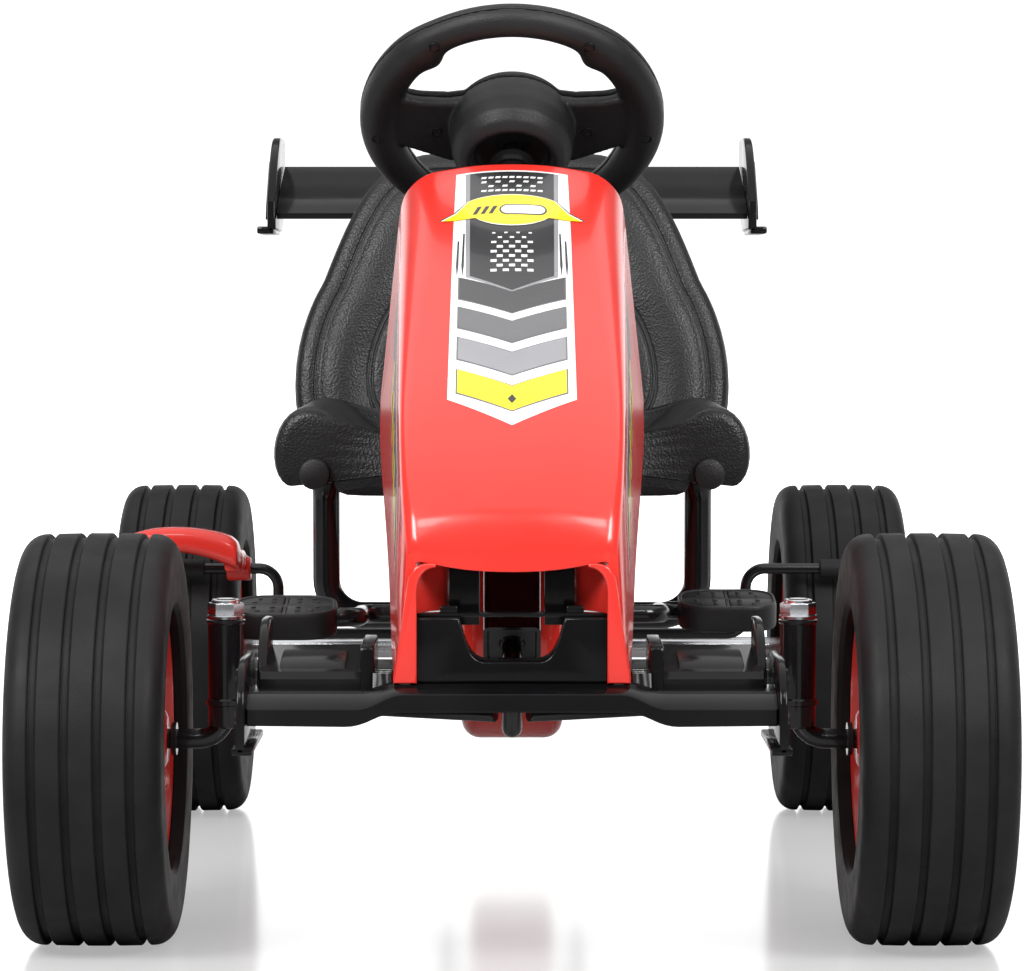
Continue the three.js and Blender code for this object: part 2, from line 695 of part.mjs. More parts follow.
function brakeSleeve() {
  const bore = BRAKE_ROD_RADIUS + FIT_GAP;
  const [start, end] = [BRAKE_SLEEVE_START, BRAKE_ROD_END];
  const profile = [[start, bore], [start, BRAKE_SLEEVE_RADIUS], [end, BRAKE_SLEEVE_RADIUS], [end, bore]];
  return turnedX(profile, 14).translate(0, BRAKE_Y, BRAKE_ROD_Z);
}

// The hand lever is clamped on the rod on the driver's right.
function brakeHandle() {
  const shape = new THREE.Shape();
  shape.moveTo(-192, 205);
  shape.quadraticCurveTo(-192, 194, -202, 196);
  shape.quadraticCurveTo(-240, 210, -284, 204);
  shape.quadraticCurveTo(-290, 214, -282, 221);
  shape.quadraticCurveTo(-240, 230, -204, 220);
  shape.quadraticCurveTo(-193, 216, -192, 205);
  const grip = plateY(shape, BRAKE_Y - 40, BRAKE_Y - 12, 2, 4);
  const clamp = barX(9, -212, -192, BRAKE_Y, BRAKE_ROD_Z, 14);
  const web = box(-210, -196, BRAKE_Y - 20, BRAKE_Y, 192, 206);
  return cut(join(grip, clamp, web), barX(BRAKE_ROD_RADIUS + FIT_GAP, -240, -180, BRAKE_Y, BRAKE_ROD_Z, 12));
}

add('brake_bail', brakeBail(), blackPaint);
addPair('brake_sleeve', brakeSleeve(), foam);
add('brake_handle', brakeHandle(), redPlastic);

// ---------------------------------------------------------------- nose and front wing
const NOSE_ROWS = 8;
const NOSE_WALL = 3;

// The top centre line of the nose in (Y, Z), from the lip to the dashboard edge.
const noseLine = new THREE.CatmullRomCurve3([
  [0, -465, 237], [0, -464, 256], [0, -455, 277], [0, -432, 301], [0, -385, 334],
  [0, -310, 379], [0, -215, 434], [0, -130, 480],
].map((point) => new THREE.Vector3(...point)));

// The lower edge of the nose's side wall: level above the wing, then rising to the rear corner.
const noseHem = new THREE.CatmullRomCurve3([
  [68, -462, 174], [68.5, -440, 174], [70, -405, 176], [76, -300, 232], [84, -195, 292], [86, -140, 322],
].map((point) => new THREE.Vector3(...point)));

// Half of one cross-section, from the centre of the top to the hem, shrunk inwards by `inset`. The lip
// curves up at its corners, and the shoulder grows rounder towards the rear.
function noseSection(share, inset) {
  const top = noseLine.getPoint(share);
  const hem = noseHem.getPoint(share);
  const { lerp, smoothstep, degToRad } = THREE.MathUtils;
  const corner = lerp(7, 30, smoothstep(share, 0.5, 1)) - inset;
  const flat = lerp(58, 73.5, share) - inset - corner;
  const drop = Math.min(lerp(-6, 40, share), lerp(3, 4, share));
  const crown = [0, 0.5, 1].map((across) => new THREE.Vector3(
    flat * across, top.y + inset * 0.5, top.z - inset - drop * across ** 2.4));
  const shoulder = [25, 50, 75].map(degToRad).map((angle) => new THREE.Vector3(
    flat + corner * Math.sin(angle), top.y + 2, top.z - inset - drop - corner * (1 - Math.cos(angle))));
  const foot = new THREE.Vector3(hem.x - inset, hem.y, hem.z);
  const side = [0.35, 1].map((part) => shoulder[2].clone().lerp(foot, part));
  return [...crown, ...shoulder, ...side];
}

function noseGrid(inset) {
  const rows = [];
  for (let row = 0; row <= NOSE_ROWS; row++) {
    const half = noseSection(row / NOSE_ROWS, inset);
    const mirrored = half.slice(1).reverse().map((point) => new THREE.Vector3(-point.x, point.y, point.z));
    rows.push([...mirrored, ...half]);
  }
  return rows;
}

// The side walls turn inwards at the front, beside the mouth, and lead back to a narrower opening.
function noseCowl() {
  const pieces = [sheet(noseGrid(0), noseGrid(NOSE_WALL))];
  for (const { sign } of SIDES) {
    const flange = outline([[58.6 * sign, 231], [61 * sign, 231], [67 * sign, 176], [58.6 * sign, 176]]);
    const liner = new THREE.ExtrudeGeometry(outline([
      [60, -463], [54, -463], [46, -446], [33, -420], [33, -416], [36, -416], [49, -444], [58, -461],
      [60, -461],
    ]), { depth: 30, bevelEnabled: false });
    liner.scale(sign, 1, 1).translate(0, 0, 214);
    pieces.push(plateY(flange, -466, -461), liner);
  }
  return join(...pieces);
}

// The insert closes the mouth; two upstands behind its notch screen the steering column.
function noseInsert() {
  const shape = new THREE.Shape();
  const [halfWidth, notch, bottom, top] = [58, 26, 174, 211];
  shape.moveTo(-halfWidth, bottom);
  shape.lineTo(halfWidth, bottom);
  shape.lineTo(halfWidth, top);
  shape.lineTo(notch + 4, top);
  shape.quadraticCurveTo(notch, bottom + 13, notch - 10, bottom + 12);
  shape.lineTo(10 - notch, bottom + 12);
  shape.quadraticCurveTo(-notch, bottom + 13, -notch - 4, top);
  shape.lineTo(-halfWidth, top);
  const upstands = SIDES.map(({ sign }) => box(27.5 * sign - 8.5, 27.5 * sign + 8.5, -438, -434, 205, 246));
  return join(plateY(shape, -462, -432, 1.5), ...upstands);
}

function frontWing() {
  const plane = plateY(outline([
    [-150, 151], [-88, 150.5], [-66, 158.5], [66, 158.5], [88, 150.5], [150, 151],
    [150, 168], [88, 168], [66, 173.5], [-66, 173.5], [-88, 168], [-150, 168],
  ]), NOSE_Y + 8, NOSE_Y + 68, 3);
  const pieces = [plane];
  for (const { sign } of SIDES) {
    const span = (x0, x1) => (sign > 0 ? [x0, x1] : [-x1, -x0]);
    const ledge = outline([[-440, 158], [-440, 174], [-436, 178], [-360, 187], [-360, 181], [-428, 166]]);
    const innerFin = outline([[-440, 158], [-440, 190], [-436, 194], [-372, 194], [-372, 178], [-424, 160]]);
    const outerFin = outline([[-430, 160], [-415, 192], [-385, 204], [-362, 204], [-366, 176], [-420, 158]]);
    pieces.push(
      plateX(ledge, ...span(84, 145)),
      plateX(innerFin, ...span(79, 87)),
      plateX(outerFin, ...span(142, 147)),
    );
  }
  return join(...pieces);
}

function wingEndPlate() {
  const blade = plateX(outline([
    [NOSE_Y, 138], [NOSE_Y, 160], [NOSE_Y + 26, 187], [-398, 187], [-388, 170], [-388, 140],
  ]), 150.4, 155.4, 1.2);
  const foot = plateX(outline([[NOSE_Y, 135], [NOSE_Y, 140], [-388, 140], [-388, 135]]), 146, 156, 1);
  return join(blade, foot);
}

add('nose_cowl', noseCowl(), redPlastic);
add('nose_insert', noseInsert(), blackPlastic);
add('front_wing', frontWing(), blackPlastic);
addPair('wing_end_plate', wingEndPlate(), blackPlastic);

// ---------------------------------------------------------------- seat
function seatBase() {
  const recess = SEAT_TUBE_RADIUS + 3;
  const floor = 261;
  const shape = new THREE.Shape();
  shape.moveTo(0, floor);
  shape.lineTo(SEAT_TUBE_X - recess, floor);
  shape.lineTo(SEAT_TUBE_X - recess, SEAT_TUBE_TOP);
  shape.absarc(SEAT_TUBE_X, SEAT_TUBE_TOP, recess, Math.PI, 0, true);
  shape.lineTo(SEAT_TUBE_X + recess, floor + 6);
  shape.lineTo(SEAT_HALF_WIDTH - 4, floor + 14);
  shape.quadraticCurveTo(SEAT_HALF_WIDTH, 300, 146, 318);
  shape.quadraticCurveTo(132, 326, 116, 312);
  shape.quadraticCurveTo(90, 284, 0, 280);
  const half = plateY(shape, SEAT_FRONT_Y + 1, 180, 0, 6);
  const mirrored = half.clone().scale(-1, 1, 1);
  return join(half, mirrored);
}

// The back is a leaning pad, wide at the hips and narrow at the top.
function seatBack() {
  const shape = new THREE.Shape();
  shape.moveTo(0, -8);
  shape.lineTo(120, -8);
  shape.bezierCurveTo(170, 0, 170, 90, 140, 140);
  shape.bezierCurveTo(118, 200, 100, 238, 60, 240);
  shape.lineTo(0, 240);
  const half = plateY(shape, 0, 30, 0, 8);
  const mirrored = half.clone().scale(-1, 1, 1);
  return join(half, mirrored);
}

add('seat_base', seatBase(), seatSkin);
const back = add('seat_back', seatBack(), seatSkin);
back.position.set(0, 184, 270);
back.rotation.x = THREE.MathUtils.degToRad(-13);

// ---------------------------------------------------------------- rear spoiler
function spoilerPost() {
  const foot = RAIL_Z + RAIL_RADIUS + FIT_GAP;
  const post = tube([
    [RAIL_X, RAIL_END_Y, foot + 1],
    [RAIL_X, RAIL_END_Y, 340],
    [RAIL_X, 405, 461],
  ], 8, 60, 10);
  return join(post, barZ(13, foot, foot + 4, RAIL_X, RAIL_END_Y));
}

function spoilerPlane() {
  const section = outline([
    [362, 454.5], [366, 454.5], [382, 465], [474, 493], [474, 498.5], [470, 498.5], [378, 470], [362, 459],
  ]);
  return plateX(section, -183, 183);
}

function spoilerEnd() {
  const blade = plateX(outline([
    [355, 446], [355, 470], [400, 512], [440, 521], [TAIL_Y, 521], [TAIL_Y, 470], [440, 446],
  ]), 183.4, 190, 1.5);
  const foot = plateX(outline([[355, 443], [355, 449], [438, 449], [438, 443]]), 185, 198, 1);
  return join(blade, foot);
}

addPair('spoiler_post', spoilerPost(), blackPaint);
add('spoiler_plane', spoilerPlane(), blackPlastic);
addPair('spoiler_end', spoilerEnd(), blackPlastic);

export default kart;
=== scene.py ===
import json
import math

import bmesh
import bpy
from mathutils import Matrix, Vector
from mathutils.bvhtree import BVHTree
from mathutils.geometry import delaunay_2d_cdt


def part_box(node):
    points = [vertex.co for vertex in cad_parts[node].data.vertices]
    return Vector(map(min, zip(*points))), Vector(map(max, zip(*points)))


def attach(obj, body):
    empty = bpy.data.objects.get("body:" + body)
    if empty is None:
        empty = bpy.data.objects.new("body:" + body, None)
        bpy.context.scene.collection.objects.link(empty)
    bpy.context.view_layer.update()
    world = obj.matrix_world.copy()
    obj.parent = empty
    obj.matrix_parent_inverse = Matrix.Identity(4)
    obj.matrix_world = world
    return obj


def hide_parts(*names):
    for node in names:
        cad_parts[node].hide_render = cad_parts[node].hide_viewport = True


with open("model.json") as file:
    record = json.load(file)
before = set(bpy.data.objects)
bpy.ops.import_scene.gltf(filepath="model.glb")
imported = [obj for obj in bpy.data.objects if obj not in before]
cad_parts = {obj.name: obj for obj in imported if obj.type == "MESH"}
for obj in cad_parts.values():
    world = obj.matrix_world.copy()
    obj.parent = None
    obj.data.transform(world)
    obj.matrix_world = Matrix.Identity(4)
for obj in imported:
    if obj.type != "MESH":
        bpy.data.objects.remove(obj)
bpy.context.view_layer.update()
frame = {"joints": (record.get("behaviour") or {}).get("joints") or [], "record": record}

# Metres. X across (the driver's left is +X), Y from nose to tail, Z up.
MM = 0.001
SIDES = {"left": 1, "right": -1}
ALONG_X = Matrix(((0, 0, 1, 0), (1, 0, 0, 0), (0, 1, 0, 0), (0, 0, 0, 1)))  # local Z -> X, X -> Y, Y -> Z
joints = {joint["name"]: joint for joint in frame["joints"]}


def middle(node):
    """The middle of a CAD node's box."""
    low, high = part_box(node)
    return (low + high) / 2


# ---------------------------------------------------------------- materials
def material(name, color, roughness, metallic=0.0, coat=0.0, tint=0.15, grain=900.0, bump=0.0,
             patches=18.0, smears=0.12, cells=False, edge=0.0, specular=0.5):
    """A procedural finish: patchy colour and gloss, a fine surface grain, and paler edges, a painted
    highlight where light catches convex edges.
    """
    made = bpy.data.materials.new(name)
    made.use_nodes = True
    nodes, links = made.node_tree.nodes, made.node_tree.links
    shader = nodes["Principled BSDF"]
    shader.inputs["Metallic"].default_value = metallic
    shader.inputs["Specular IOR Level"].default_value = specular
    shader.inputs["Coat Weight"].default_value = coat
    shader.inputs["Coat Roughness"].default_value = 0.05
    place = nodes.new("ShaderNodeTexCoord")

    def noise(scale, detail=3.0):
        node = nodes.new("ShaderNodeTexNoise")
        node.inputs["Scale"].default_value = scale
        node.inputs["Detail"].default_value = detail
        links.new(place.outputs["Object"], node.inputs["Vector"])
        return node.outputs["Fac"]

    def spread(value, low, high):
        node = nodes.new("ShaderNodeMapRange")
        node.inputs["From Min"].default_value = 0.3
        node.inputs["From Max"].default_value = 0.7
        node.inputs["To Min"].default_value = low
        node.inputs["To Max"].default_value = high
        links.new(value, node.inputs["Value"])
        return node.outputs["Result"]

    def mixed(factor, first, second):
        node = nodes.new("ShaderNodeMix")
        node.data_type = "RGBA"
        if isinstance(factor, float):
            node.inputs[0].default_value = factor
        else:
            links.new(factor, node.inputs[0])
        for socket, value in ((node.inputs[6], first), (node.inputs[7], second)):
            if isinstance(value, tuple):
                socket.default_value = (*value, 1)
            else:
                links.new(value, socket)
        return node.outputs[2]

    dark = tuple(c * (1 - tint) for c in color)
    light = tuple(min(1, c * (1 + tint) + tint * 0.01) for c in color)
    base = mixed(spread(noise(patches), 0, 1), dark, light)
    # edge sets the strength of a painted highlight: colour made paler on convex edges, where light catches
    # them.
    if edge:
        shape = nodes.new("ShaderNodeNewGeometry")
        painted_edge_highlight = nodes.new("ShaderNodeMapRange")
        painted_edge_highlight.inputs["From Min"].default_value = 0.52
        painted_edge_highlight.inputs["From Max"].default_value = 0.62
        painted_edge_highlight.inputs["To Max"].default_value = edge
        links.new(shape.outputs["Pointiness"], painted_edge_highlight.inputs["Value"])
        highlight_colour = tuple(min(1, c * 1.6 + 0.05) for c in color)
        base = mixed(painted_edge_highlight.outputs["Result"], base, highlight_colour)
    links.new(base, shader.inputs["Base Color"])
    rough = spread(noise(patches * 2.3, 5), roughness * (1 - smears), roughness * (1 + smears))
    links.new(rough, shader.inputs["Roughness"])
    if bump:
        if cells:
            texture = nodes.new("ShaderNodeTexVoronoi")
            texture.inputs["Scale"].default_value = grain
            links.new(place.outputs["Object"], texture.inputs["Vector"])
            height = texture.outputs["Distance"]
        else:
            height = noise(grain, 2)
        node = nodes.new("ShaderNodeBump")
        node.inputs["Strength"].default_value = bump
        node.inputs["Distance"].default_value = 0.4 * MM
        links.new(height, node.inputs["Height"])
        links.new(node.outputs["Normal"], shader.inputs["Normal"])
    return made


RED = material("red_plastic", (0.76, 0.034, 0.024), 0.22, coat=0.25, tint=0.05, grain=700, bump=0.02)
# The edge values below set painted highlights on convex edges.
GLOSS_BLACK = material("gloss_black_plastic", (0.0035, 0.0035, 0.004), 0.16, coat=0.04, grain=500, bump=0.04,
                       edge=0.1, specular=0.18)
GRAIN_BLACK = material("textured_black_plastic", (0.012, 0.012, 0.013), 0.42, grain=1500, bump=0.35,
                       cells=True, edge=0.3, specular=0.35)
PAINT = material("frame_paint", (0.007, 0.007, 0.008), 0.2, coat=0.4, grain=420, bump=0.12, edge=0.25,
                 specular=0.3)
FOAM = material("tyre_foam", (0.011, 0.011, 0.012), 0.55, tint=0.22, grain=1100, bump=0.35, patches=26,
                specular=0.2)
RUBBER = material("brake_rubber", (0.016, 0.016, 0.018), 0.6, grain=1300, bump=0.3, specular=0.25)
SEAT = material("seat_skin", (0.011, 0.011, 0.012), 0.38, tint=0.2, grain=620, bump=0.55, cells=True,
                edge=0.15, specular=0.35)
ZINC = material("zinc_steel", (0.66, 0.67, 0.69), 0.22, metallic=1, grain=600, bump=0.1, smears=0.4)
DARK_STEEL = material("dark_steel", (0.12, 0.12, 0.125), 0.35, metallic=1, grain=600, bump=0.2, smears=0.4)
NYLON = material("bush_nylon", (0.03, 0.03, 0.033), 0.5, grain=900, bump=0.1)
WHITE = material("decal_white", (0.82, 0.82, 0.82), 0.25, coat=0.4, tint=0.03)
INK = material("decal_black", (0.02, 0.02, 0.022), 0.25, coat=0.4, tint=0.1)
YELLOW = material("decal_yellow", (0.85, 0.66, 0.01), 0.25, coat=0.4, tint=0.05)
GREYS = [
    material(f"decal_grey_{number}", (shade, shade, shade * 1.05), 0.25, coat=0.4, tint=0.08)
    for number, shade in enumerate((0.045, 0.12, 0.26))
]


# ---------------------------------------------------------------- mesh tools
def finished(bm, name, finish, body, nodes=(), angle=35, subdivide=0):
    """Turns a bmesh into a piece with sharp edges only where it really turns."""
    bmesh.ops.remove_doubles(bm, verts=bm.verts, dist=1e-6)
    bmesh.ops.dissolve_degenerate(bm, edges=bm.edges, dist=1e-7)
    bmesh.ops.recalc_face_normals(bm, faces=bm.faces)
    limit = math.radians(angle)
    for face in bm.faces:
        face.smooth = True
    for edge in bm.edges:
        edge.smooth = len(edge.link_faces) == 2 and edge.calc_face_angle(0) < limit
    mesh = bpy.data.meshes.new(name)
    bm.to_mesh(mesh)
    bm.free()
    piece = bpy.data.objects.new(name, mesh)
    bpy.context.scene.collection.objects.link(piece)
    mesh.materials.append(finish)
    if subdivide:
        smooth = piece.modifiers.new("smooth", "SUBSURF")
        smooth.levels = smooth.render_levels = subdivide
    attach(piece, body)
    if nodes:
        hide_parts(*nodes)
    return piece


def strip(bm, first, second, closed=True):
    """Faces between two rows of corners; corners that coincide are used once."""
    count = len(first)
    for i in range(count if closed else count - 1):
        j = (i + 1) % count
        corners = []
        for vert in (first[i], first[j], second[j], second[i]):
            if vert not in corners:
                corners.append(vert)
        if len(corners) > 2:
            bm.faces.new(corners)


def lathe(bm, profile, place, segments=48, closed=False):
    """Turns (height, radius) points about the place's local Z."""
    rings = []
    for height, radius in profile:
        if radius < 1e-6:
            rings.append([bm.verts.new(place @ Vector((0, 0, height)))] * segments)
            continue
        turn = 2 * math.pi / segments
        rings.append([bm.verts.new(place @ Vector((radius * math.cos(turn * i), radius * math.sin(turn * i),
                                                   height))) for i in range(segments)])
    for first, second in zip(rings, rings[1:] + rings[:1] if closed else rings[1:]):
        strip(bm, first, second)


def bent_path(corners, bend, steps):
    """Points of a path of straight runs joined by round bends."""
    corners = [Vector(corner) for corner in corners]
    points = [corners[0]]
    for before, corner, after in zip(corners, corners[1:], corners[2:]):
        back, ahead = (before - corner).normalized(), (after - corner).normalized()
        half = back.angle(ahead) / 2
        centre = corner + (back + ahead).normalized() * (bend / math.sin(half))
        start = corner + back * (bend / math.tan(half)) - centre
        end = corner + ahead * (bend / math.tan(half)) - centre
        points += [centre + start.normalized().slerp(end.normalized(), step / steps) * bend
                   for step in range(steps + 1)]
    return points + [corners[-1]]


def sweep(bm, points, section, taper=None):
    """Carries a section, a list of (a, b) points, along a path without twisting it."""
    tangent = (points[1] - points[0]).normalized()
    side = tangent.orthogonal().normalized()
    rings = []
    for index, point in enumerate(points):
        ahead = points[min(index + 1, len(points) - 1)] - points[max(index - 1, 0)]
        turned = ahead.normalized()
        side = (tangent.rotation_difference(turned) @ side).normalized()
        tangent = turned
        other = tangent.cross(side)
        scale = taper(index / (len(points) - 1)) if taper else 1
        rings.append([bm.verts.new(point + (side * a + other * b) * scale) for a, b in section])
    for first, second in zip(rings, rings[1:]):
        strip(bm, first, second)
    bm.faces.new(rings[0])
    bm.faces.new(rings[-1])


def circle(radius, sides=20):
    """A circle about the origin, as a polygon."""
    return [(radius * math.cos(2 * math.pi * i / sides), radius * math.sin(2 * math.pi * i / sides))
            for i in range(sides)]


def tube(bm, corners, radius, bend=0.014, sides=20, steps=8):
    """A round bar whose two ends are slightly chamfered."""
    points = bent_path(corners, bend, steps)
    first = (points[1] - points[0]).normalized()
    last = (points[-2] - points[-1]).normalized()
    lip = radius * 0.12
    points = [points[0], points[0] + first * lip, *points[1:-1], points[-1] + last * lip, points[-1]]
    sweep(bm, points, circle(radius, sides), lambda share: 0.88 if share in (0, 1) else 1)


def block(bm, low, high, bevel=0.001, segments=2, place=None):
    """A box between two corners, with rounded edges."""
    made = bmesh.ops.create_cube(bm, size=1)["verts"]
    low, high = Vector(low), Vector(high)
    for vert in made:
        vert.co = Vector(((low[i] + high[i]) / 2 + vert.co[i] * (high[i] - low[i]) for i in range(3)))
        if place:
            vert.co = place @ vert.co
    if bevel:
        edges = list({edge for vert in made for edge in vert.link_edges})
        bmesh.ops.bevel(bm, geom=edges, offset=bevel, segments=segments, affect="EDGES", profile=0.5)


def prism(bm, outline, low, high, place, bevel=0.001, segments=2):
    """Extrudes an outline of (a, b) points from low to high along the place's local Z, edges rounded."""
    face = bm.faces.new([bm.verts.new(place @ Vector((a, b, low))) for a, b in outline])
    grown = bmesh.ops.extrude_face_region(bm, geom=[face])["geom"]
    lift = place.to_3x3() @ Vector((0, 0, high - low))
    top = [item for item in grown if isinstance(item, bmesh.types.BMVert)]
    bmesh.ops.translate(bm, verts=top, vec=lift)
    if bevel:
        rim = {edge for item in grown if isinstance(item, bmesh.types.BMFace) for edge in item.edges}
        bmesh.ops.bevel(bm, geom=list(rim | set(face.edges)), offset=bevel, segments=segments,
                        affect="EDGES", profile=0.5, clamp_overlap=True)


def arc(centre, radius, start, end, steps):
    """Points of an arc in degrees, with both ends."""
    angles = [math.radians(start + (end - start) * i / steps) for i in range(steps + 1)]
    return [(centre[0] + radius * math.cos(a), centre[1] + radius * math.sin(a)) for a in angles]


def rounded(width, height, radius, steps=6):
    """A rounded rectangle about the origin."""
    x, y = width / 2 - radius, height / 2 - radius
    corners = (((x, y), 0), ((-x, y), 90), ((-x, -y), 180), ((x, -y), 270))
    return [point for centre, start in corners for point in arc(centre, radius, start, start + 90, steps)]


def loft(bm, rows, closed=False, caps=False):
    """A surface through rows of points; closed joins each row's ends, caps fills the first and last row."""
    rings = [[bm.verts.new(point) for point in row] for row in rows]
    for first, second in zip(rings, rings[1:]):
        strip(bm, first, second, closed)
    if caps:
        bm.faces.new(rings[0])
        bm.faces.new(rings[-1])
    return rings


def spline(points, share):
    """A smooth curve through evenly spaced points, share running from 0 to 1."""
    points = [Vector(point) for point in points]
    at = min(max(share, 0), 1) * (len(points) - 1)
    index = min(int(at), len(points) - 2)
    part = at - index
    second, third = points[index], points[index + 1]
    first = points[index - 1] if index else second * 2 - third
    fourth = points[index + 2] if index + 2 < len(points) else third * 2 - second
    return 0.5 * (2 * second + (third - first) * part
                  + (2 * first - 5 * second + 4 * third - fourth) * part ** 2
                  + (3 * second - first - 3 * third + fourth) * part ** 3)


def millimetres(points):
    return [(a * MM, b * MM) for a, b in points]


def curve(start, control, end, steps=8):
    """Points of a quadratic curve after its start."""
    a, b, c = Vector(start), Vector(control), Vector(end)
    shares = [i / steps for i in range(1, steps + 1)]
    return [tuple(a * (1 - t) ** 2 + b * 2 * t * (1 - t) + c * t ** 2) for t in shares]


def screw(bm, place, radius=0.004):
    """A pan head screw whose axis is the place's local Z."""
    lathe(bm, [(0, radius), (radius * 0.35, radius), (radius * 0.6, radius * 0.7), (radius * 0.7, 0)],
          place, 20)


def facing(point, direction):
    """A matrix at a point whose local Z looks along direction."""
    turn = Vector(direction).to_track_quat("Z", "Y").to_matrix().to_4x4()
    return Matrix.Translation(Vector(point)) @ turn


def across_y(y):
    """A place whose local XY is the world's XZ, with local Z running forward from y."""
    return Matrix.Translation((0, y, 0)) @ Matrix.Rotation(math.pi / 2, 4, "X")


# ---------------------------------------------------------------- wheels
TREAD_STEP = 19 * MM
GROOVE_WIDTH = 6.4 * MM
GROOVE_DEPTH = 3.4 * MM


def wheel_sizes(row, side):
    """The centre, half width and radius of a tyre."""
    low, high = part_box(f"tyre_{row}_{side}")
    return (low + high) / 2, (high.x - low.x) / 2, (high.z - low.z) / 2


def tyre(row, side):
    """A foam tyre: five ribs, round shoulders and a soft sidewall."""
    centre, half, radius = wheel_sizes(row, side)
    shoulder = 13 * MM
    crown = []
    for number in (-1.5, -0.5, 0.5, 1.5):
        groove = number * TREAD_STEP
        for shift, depth in ((-0.5, 0), (-0.4, 0.16), (-0.32, 0.9), (-0.24, 1), (0.24, 1), (0.32, 0.9),
                             (0.4, 0.16), (0.5, 0)):
            x = groove + shift * GROOVE_WIDTH
            dome = 1.1 * MM * (x / half) ** 2
            crown.append((x, radius - dome - depth * GROOVE_DEPTH))
    edge = half - shoulder
    drop = 1.1 * MM * (edge / half) ** 2
    round_side = [(edge + shoulder * math.cos(a), radius - drop - shoulder + shoulder * math.sin(a))
                  for a in (math.radians(90 - 90 * i / 8) for i in range(9))]
    wall = [(half, 104 * MM), (half - 0.8 * MM, 96 * MM), (half - 0.2 * MM, 88 * MM),
            (half - 1.2 * MM, 83 * MM),
            (half - 4 * MM, 80.4 * MM), (half - 9 * MM, 80.4 * MM), (half - 9 * MM, 86 * MM)]
    outer = round_side + wall
    profile = [(-x, r) for x, r in reversed(outer)] + crown + outer
    bm = bmesh.new()
    lathe(bm, profile, Matrix.Translation(centre) @ ALONG_X, 144, closed=True)
    return finished(bm, f"foam_tyre_{row}_{side}", FOAM, body_of(f"tyre_{row}_{side}"),
                    [f"tyre_{row}_{side}"], angle=28)


def body_of(node):
    """The body that carries a CAD node."""
    return next(body for body, nodes in frame["record"]["behaviour"]["bodies"].items() if node in nodes)


def rim(row, side):
    """A moulded rim: a deep barrel, a ribbed web inside and five broad spokes outside."""
    centre = wheel_sizes(row, side)[0]
    place = Matrix.Translation(centre) @ Matrix.Diagonal((SIDES[side], 1, 1, 1)) @ ALONG_X
    bore = (6.4 if row == "front" else 8.4) * MM
    bm = bmesh.new()
    profile = [(-40, 0), (-40, 14), (-38.5, 17), (8, 18.5), (13, 24), (15.5, 40), (15.5, 66), (12, 73),
               (2, 77.5),
               (-34, 79), (-36.5, 80), (-36.5, 85.4), (36.5, 85.4), (36.5, 80), (33, 78.6), (24, 74),
               (21.5, 66), (21.5, 34), (23, 26), (36, 20), (38, 18), (38, 0)]
    profile = [(x * MM, max(r * MM, bore)) for x, r in profile]
    lathe(bm, profile, place, 96, closed=True)
    for number in range(5):
        turn = place @ Matrix.Rotation(math.radians(90 + 72 * number), 4, "Z")
        blade = [(17 * MM, -9 * MM), (45 * MM, -8 * MM), (77 * MM, -13 * MM), (77 * MM, 13 * MM),
                 (45 * MM, 8 * MM), (17 * MM, 9 * MM)]
        prism(bm, blade, 20 * MM, 31 * MM, turn, 2 * MM, 3)
    for number in range(10):
        turn = place @ Matrix.Rotation(math.radians(36 * number), 4, "Z")
        rib = [(17 * MM, -1.4 * MM), (76 * MM, -1.4 * MM), (76 * MM, 1.4 * MM), (17 * MM, 1.4 * MM)]
        prism(bm, rib, 4 * MM, 16 * MM, turn, 0.5 * MM)
    return finished(bm, f"moulded_rim_{row}_{side}", RED, body_of(f"rim_{row}_{side}"),
                    [f"rim_{row}_{side}"])


def wheel_cap(row, side):
    """A stepped cap over the hub, domed in the middle."""
    low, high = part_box(f"wheel_cap_{row}_{side}")
    centre = middle(f"wheel_cap_{row}_{side}")
    inner = low.x if side == "left" else high.x
    place = (Matrix.Translation((inner, centre.y, centre.z)) @ Matrix.Diagonal((SIDES[side], 1, 1, 1))
             @ ALONG_X)
    profile = [(0, 11), (0, 24), (1.5, 24), (3.6, 22.4), (5, 19), (6.2, 14), (5.2, 12), (5.4, 10), (7.2, 4),
               (7.4, 0), (5, 0), (4.6, 11)]
    bm = bmesh.new()
    lathe(bm, [(x * MM, r * MM) for x, r in profile], place, 48)
    return finished(bm, f"hub_cap_{row}_{side}", GLOSS_BLACK, body_of(f"wheel_cap_{row}_{side}"),
                    [f"wheel_cap_{row}_{side}"])


for row in ("front", "rear"):
    for side in SIDES:
        tyre(row, side)
        rim(row, side)
        wheel_cap(row, side)


# ---------------------------------------------------------------- frame
SEAT_TUBE = {"radius": 9.5 * MM, "bend": 26 * MM}


def weld(bm, centre, direction, radius, bead=1.6 * MM):
    """A slightly lumpy weld bead round a joint."""
    place = facing(centre, direction)
    rings, count = [], 44
    for i in range(count):
        angle = 2 * math.pi * i / count
        reach = radius + bead * 0.3 + 0.25 * MM * math.sin(9 * angle)
        size = bead * (1 + 0.18 * math.sin(13 * angle + 1))
        rings.append([bm.verts.new(place @ Vector((
            (reach + size * math.cos(a)) * math.cos(angle), (reach + size * math.cos(a)) * math.sin(angle),
            size * math.sin(a)))) for a in (2 * math.pi * j / 8 for j in range(8))])
    for first, second in zip(rings, rings[1:] + rings[:1]):
        strip(bm, first, second)


